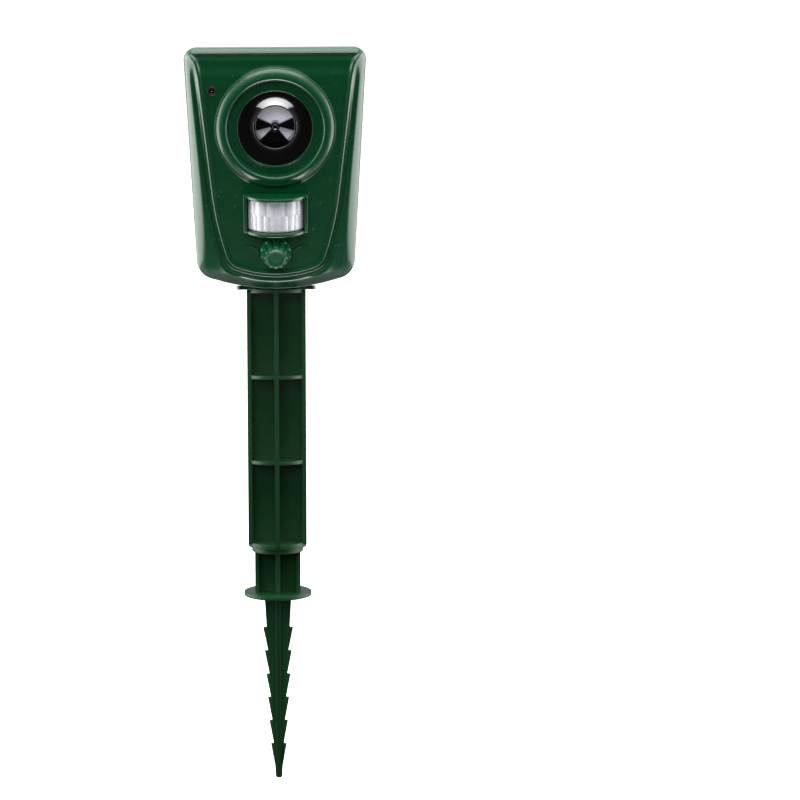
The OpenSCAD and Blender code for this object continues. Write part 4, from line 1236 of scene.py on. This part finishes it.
def diaphragm_film():
    """Pale satin film with a painted glow, a little emission that stands in for light, so that it
    reads at the bottom of the horn.
    """
    n = Nodes("diaphragm")
    # Painted light: the film's own colour also glows, standing in for light that hardly reaches the
    # bottom of the horn
    n.glow(n.mottled(n.noise(120.0, 3.0), (0.62, 0.59, 0.70), (0.74, 0.71, 0.82)), 0.25)
    n.roughness(n.span(n.noise(400.0, 2.0), 0.25, 0.35))
    n.normal(n.bump(n.noise(900.0, 2.0), 0.004))


def led_red():
    n = Nodes("led_red")
    n.mottled(n.noise(400.0, 3.0), (0.012, 0.003, 0.003), (0.03, 0.006, 0.006))
    n.roughness(n.span(n.noise(900.0), 0.06, 0.14))
    n.normal(n.bump(n.noise(700.0), 0.01, 0.4))
    n.set(Coat_Weight=0.6, Coat_Roughness=0.05)


HEAD_GREEN = (0.0016, 0.052, 0.0165)
KNOB_GREEN = (0.003, 0.07, 0.026)
STAKE_GREEN = (0.0055, 0.036, 0.0115)


def make_materials():
    moulded(
        "head_plastic", HEAD_GREEN, 0.25, 0.9, 0.0008, coat=0.2, spread=0.04, specular=0.42,
    )
    moulded("knob_plastic", KNOB_GREEN, 0.3, 0.9, 0.003, spread=0.06)
    moulded(
        "stake_plastic", STAKE_GREEN, 0.44, 0.6, 0.008,
        flow=(1.0, 1.0, 0.25), spread=0.12, specular=0.24,
    )
    moulded("black_plastic", (0.007, 0.007, 0.008), 0.42, 0.4, 0.02)
    moulded("white_plastic", (0.72, 0.70, 0.64), 0.4, 0.4, 0.015, spread=0.04)
    rubber("seal_rubber")
    gloss_black()
    diaphragm_film()
    metal("brass", (0.72, 0.49, 0.2), 0.3, (1.0, 1.0, 1.0), 700.0)
    metal("screw_steel", (0.60, 0.61, 0.62), 0.28, (1.0, 6.0, 1.0), 900.0)
    metal("metal_can", (0.52, 0.53, 0.55), 0.34)
    lens_plastic()
    solar_cells()
    moulded("solar_board", (0.012, 0.02, 0.07), 0.4, 0.4, 0.02)
    clear_cover()
    led_red()
    circuit_board()
    wrapped("transformer", (0.42, 0.3, 0.05), (0.6, 0.45, 0.1), 0.4, "Z", 90.0)
    wrapped("capacitor", (0.008, 0.012, 0.035), (0.015, 0.02, 0.05), 0.3, "Z", 40.0)
    wrapped("cell_wrap", (0.02, 0.09, 0.26), (0.03, 0.13, 0.34), 0.25, "X", 14.0)
    wrapped("wire_cover", (0.22, 0.012, 0.01), (0.3, 0.02, 0.016), 0.4, "Z", 60.0)


def finish_piece(obj, node):
    """Puts a piece on its CAD node's body with that node's finish, and stands it in for the node."""
    obj.name = node + "_form"
    obj.data.materials.clear()
    obj.data.materials.append(MATERIALS[SLOT_OF[node]])
    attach(obj, BODY_OF[node])
    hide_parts(node)
    return obj


# ---------- Building ----------

# Nodes that keep the CAD's shape with rounded edges: the rounding in mm and its segments
SOFT_NODES = {
    "ground_spike": (0.3, 2), "upper_stake": (0.3, 2), "stake_socket": (1.0, 4),
    "battery_door": (0.5, 3), "battery_door_screws": (0.12, 2), "housing_screws": (0.12, 2),
    "switch_slider": (0.25, 2), "jack_cover": (0.25, 2), "dc_jack": (0.2, 2), "power_switch": (0.2, 2),
    "battery_tray": (0.3, 2), "battery_cells": (0.5, 3), "solar_board": (0.1, 1),
    "solar_cover": (0.3, 2), "speaker_screws": (0.12, 2), "board_screws": (0.12, 2),
    "capacitors": (0.4, 3), "driver_transformer": (0.3, 2), "controller_chip": (0.12, 1),
    "wire_headers": (0.2, 2), "contact_plates": (0.08, 1), "potentiometer": (0.3, 2),
    "pir_sensor": (0.2, 2), "solar_cells": (0.05, 1),
}


def build():
    front, rear, roof = head_parts()
    front = front_shell(front)
    for side in (-1, 1):
        unite(front, swoosh(side))
    finish_piece(shade(front, 32), "front_shell")
    finish_piece(shade(rear_shell(rear), 32), "rear_shell")
    finish_piece(shade(roof_frame(roof), 32), "roof_frame")
    makers = (speaker_horn, phase_plug, speaker_diaphragm, pir_lens, led_holder, indicator_led)
    for make in (*makers, sensitivity_knob):
        finish_piece(make(), make.__name__)
    for node, (width, segments) in SOFT_NODES.items():
        finish_piece(softened(node, width, segments), node)
    strips = cell_strips()
    strips.name = "cell_busbars"
    strips.data.materials.append(MATERIALS["screw_steel"])
    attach(strips, "head")
    # The nodes that stay as the CAD made them
    for node, obj in NODES.items():
        if not obj.hide_render:
            obj.data.materials.clear()
            obj.data.materials.append(MATERIALS[SLOT_OF[node]])


# ---------- Stage, light and camera ----------

def backdrop():
    """Pale round sweep: a floor that curves up into a wall all round the object."""
    floor_z = (CAD_LOW[2] - 0.08) / MM
    radius, bend, wall, steps, columns = 2600.0, 900.0, 2500.0, 16, 96
    profile = arc(radius - bend, floor_z + bend, bend, -90, 0, steps)
    profile += [(radius, floor_z + bend + wall)]
    verts = [(0.0, 0.0, floor_z)]
    for r, z in profile:
        for k in range(columns):
            a = 2 * math.pi * k / columns
            verts.append((r * math.cos(a), r * math.sin(a), z))
    faces = [(0, 1 + k, 1 + (k + 1) % columns) for k in range(columns)]
    faces += [tuple(1 + corner for corner in quad[::-1]) for quad in grid_faces(len(profile), columns)]
    obj = make_object("backdrop", verts, faces)
    obj.data.shade_smooth()
    n = Nodes("backdrop_paper")
    n.glow(n.mottled(n.noise(3.0, 2.0), (0.90, 0.90, 0.90), (0.93, 0.93, 0.93)), 0.9)
    n.set(Specular_IOR_Level=0.0, Roughness=1.0)
    obj.data.materials.append(n.material)
    # The object takes its light and gleams from the softer surroundings instead
    obj.visible_glossy = False
    obj.visible_diffuse = False


def area_light(name, place, aim, size, power, tall=None):
    data = bpy.data.lights.new(name, "AREA")
    data.shape = "RECTANGLE"
    data.size = size
    data.size_y = tall or size
    data.energy = power
    obj = linked(name, data)
    obj.location = place
    obj.rotation_euler = (Vector(aim) - Vector(place)).to_track_quat("-Z", "Y").to_euler()
    return obj


def sky():
    """Soft surroundings: bright overhead, behind and to the sides, dim low down."""
    world = bpy.data.worlds.new("studio")
    world.use_nodes = True
    tree = world.node_tree
    place = tree.nodes.new("ShaderNodeTexCoord").outputs["Generated"]

    def slope(direction, start, end, low, high):
        """Level that turns from low to high as the view swings towards a direction."""
        dot = tree.nodes.new("ShaderNodeVectorMath")
        dot.operation = "DOT_PRODUCT"
        dot.inputs[1].default_value = direction
        level = tree.nodes.new("ShaderNodeMapRange")
        level.interpolation_type = "SMOOTHSTEP"
        level.inputs["From Min"].default_value = start
        level.inputs["From Max"].default_value = end
        level.inputs["To Min"].default_value = low
        level.inputs["To Max"].default_value = high
        tree.links.new(place, dot.inputs[0])
        tree.links.new(dot.outputs["Value"], level.inputs["Value"])
        return level.outputs["Result"]

    both = tree.nodes.new("ShaderNodeMath")
    both.operation = "MULTIPLY"
    # Dark low down in front, so the face keeps its colour
    tree.links.new(slope((0.0, 1.0, 0.45), -0.8, -0.15, 0.03, 1.5), both.inputs[0])
    # Dimmer low down behind, for the rear wall
    tree.links.new(slope((0.0, 1.0, -0.5), 0.45, 0.85, 1.0, 0.3), both.inputs[1])
    background = tree.nodes["Background"]
    tree.links.new(both.outputs["Value"], background.inputs["Strength"])
    background.inputs["Color"].default_value = (1.0, 1.0, 1.0, 1.0)
    bpy.context.scene.world = world


def lights():
    middle, head = (0.0, -0.03, 0.2), (0.0, -0.03, 0.27)
    area_light("top_box", (0.0, -0.3, 1.3), middle, 1.4, 18.0, 1.1)
    for name, x, power in (("left_panel", -0.9, 15.0), ("right_panel", 0.9, 12.0)):
        area_light(name, (x, 0.12, 0.27), head, 0.9, power, 1.1)
    fill = area_light("front_fill", (-0.25, -1.5, 0.7), middle, 1.0, 13.0, 0.7)
    fill.visible_glossy = False
    # Low card whose only job is its gleam in the upper part of the horn
    card = area_light("low_card", (0.0, -0.145, -0.02), (0.0, -0.1, 0.3), 0.27, 0.35, 0.13)
    card.data.spread = math.radians(80)
    card.visible_diffuse = False
    card.visible_camera = False


CAMERA_PLACE = (0.0, -0.9, 0.191)
CAMERA_DOWN = math.radians(4.61)
CAMERA_ROLL = math.radians(-0.35)


def camera():
    data = bpy.data.cameras.new("camera")
    data.sensor_width = 36.0
    data.lens = 67.5
    data.shift_x = 0.154
    data.clip_end = 20.0
    obj = linked("camera", data)
    pitch = Matrix.Rotation(math.pi / 2 - CAMERA_DOWN, 4, "X")
    roll = Matrix.Rotation(CAMERA_ROLL, 4, "Z")
    obj.matrix_world = Matrix.Translation(CAMERA_PLACE) @ pitch @ roll
    bpy.context.scene.camera = obj


make_materials()
build()
backdrop()
sky()
lights()
camera()
bpy.context.scene.view_settings.view_transform = "Standard"
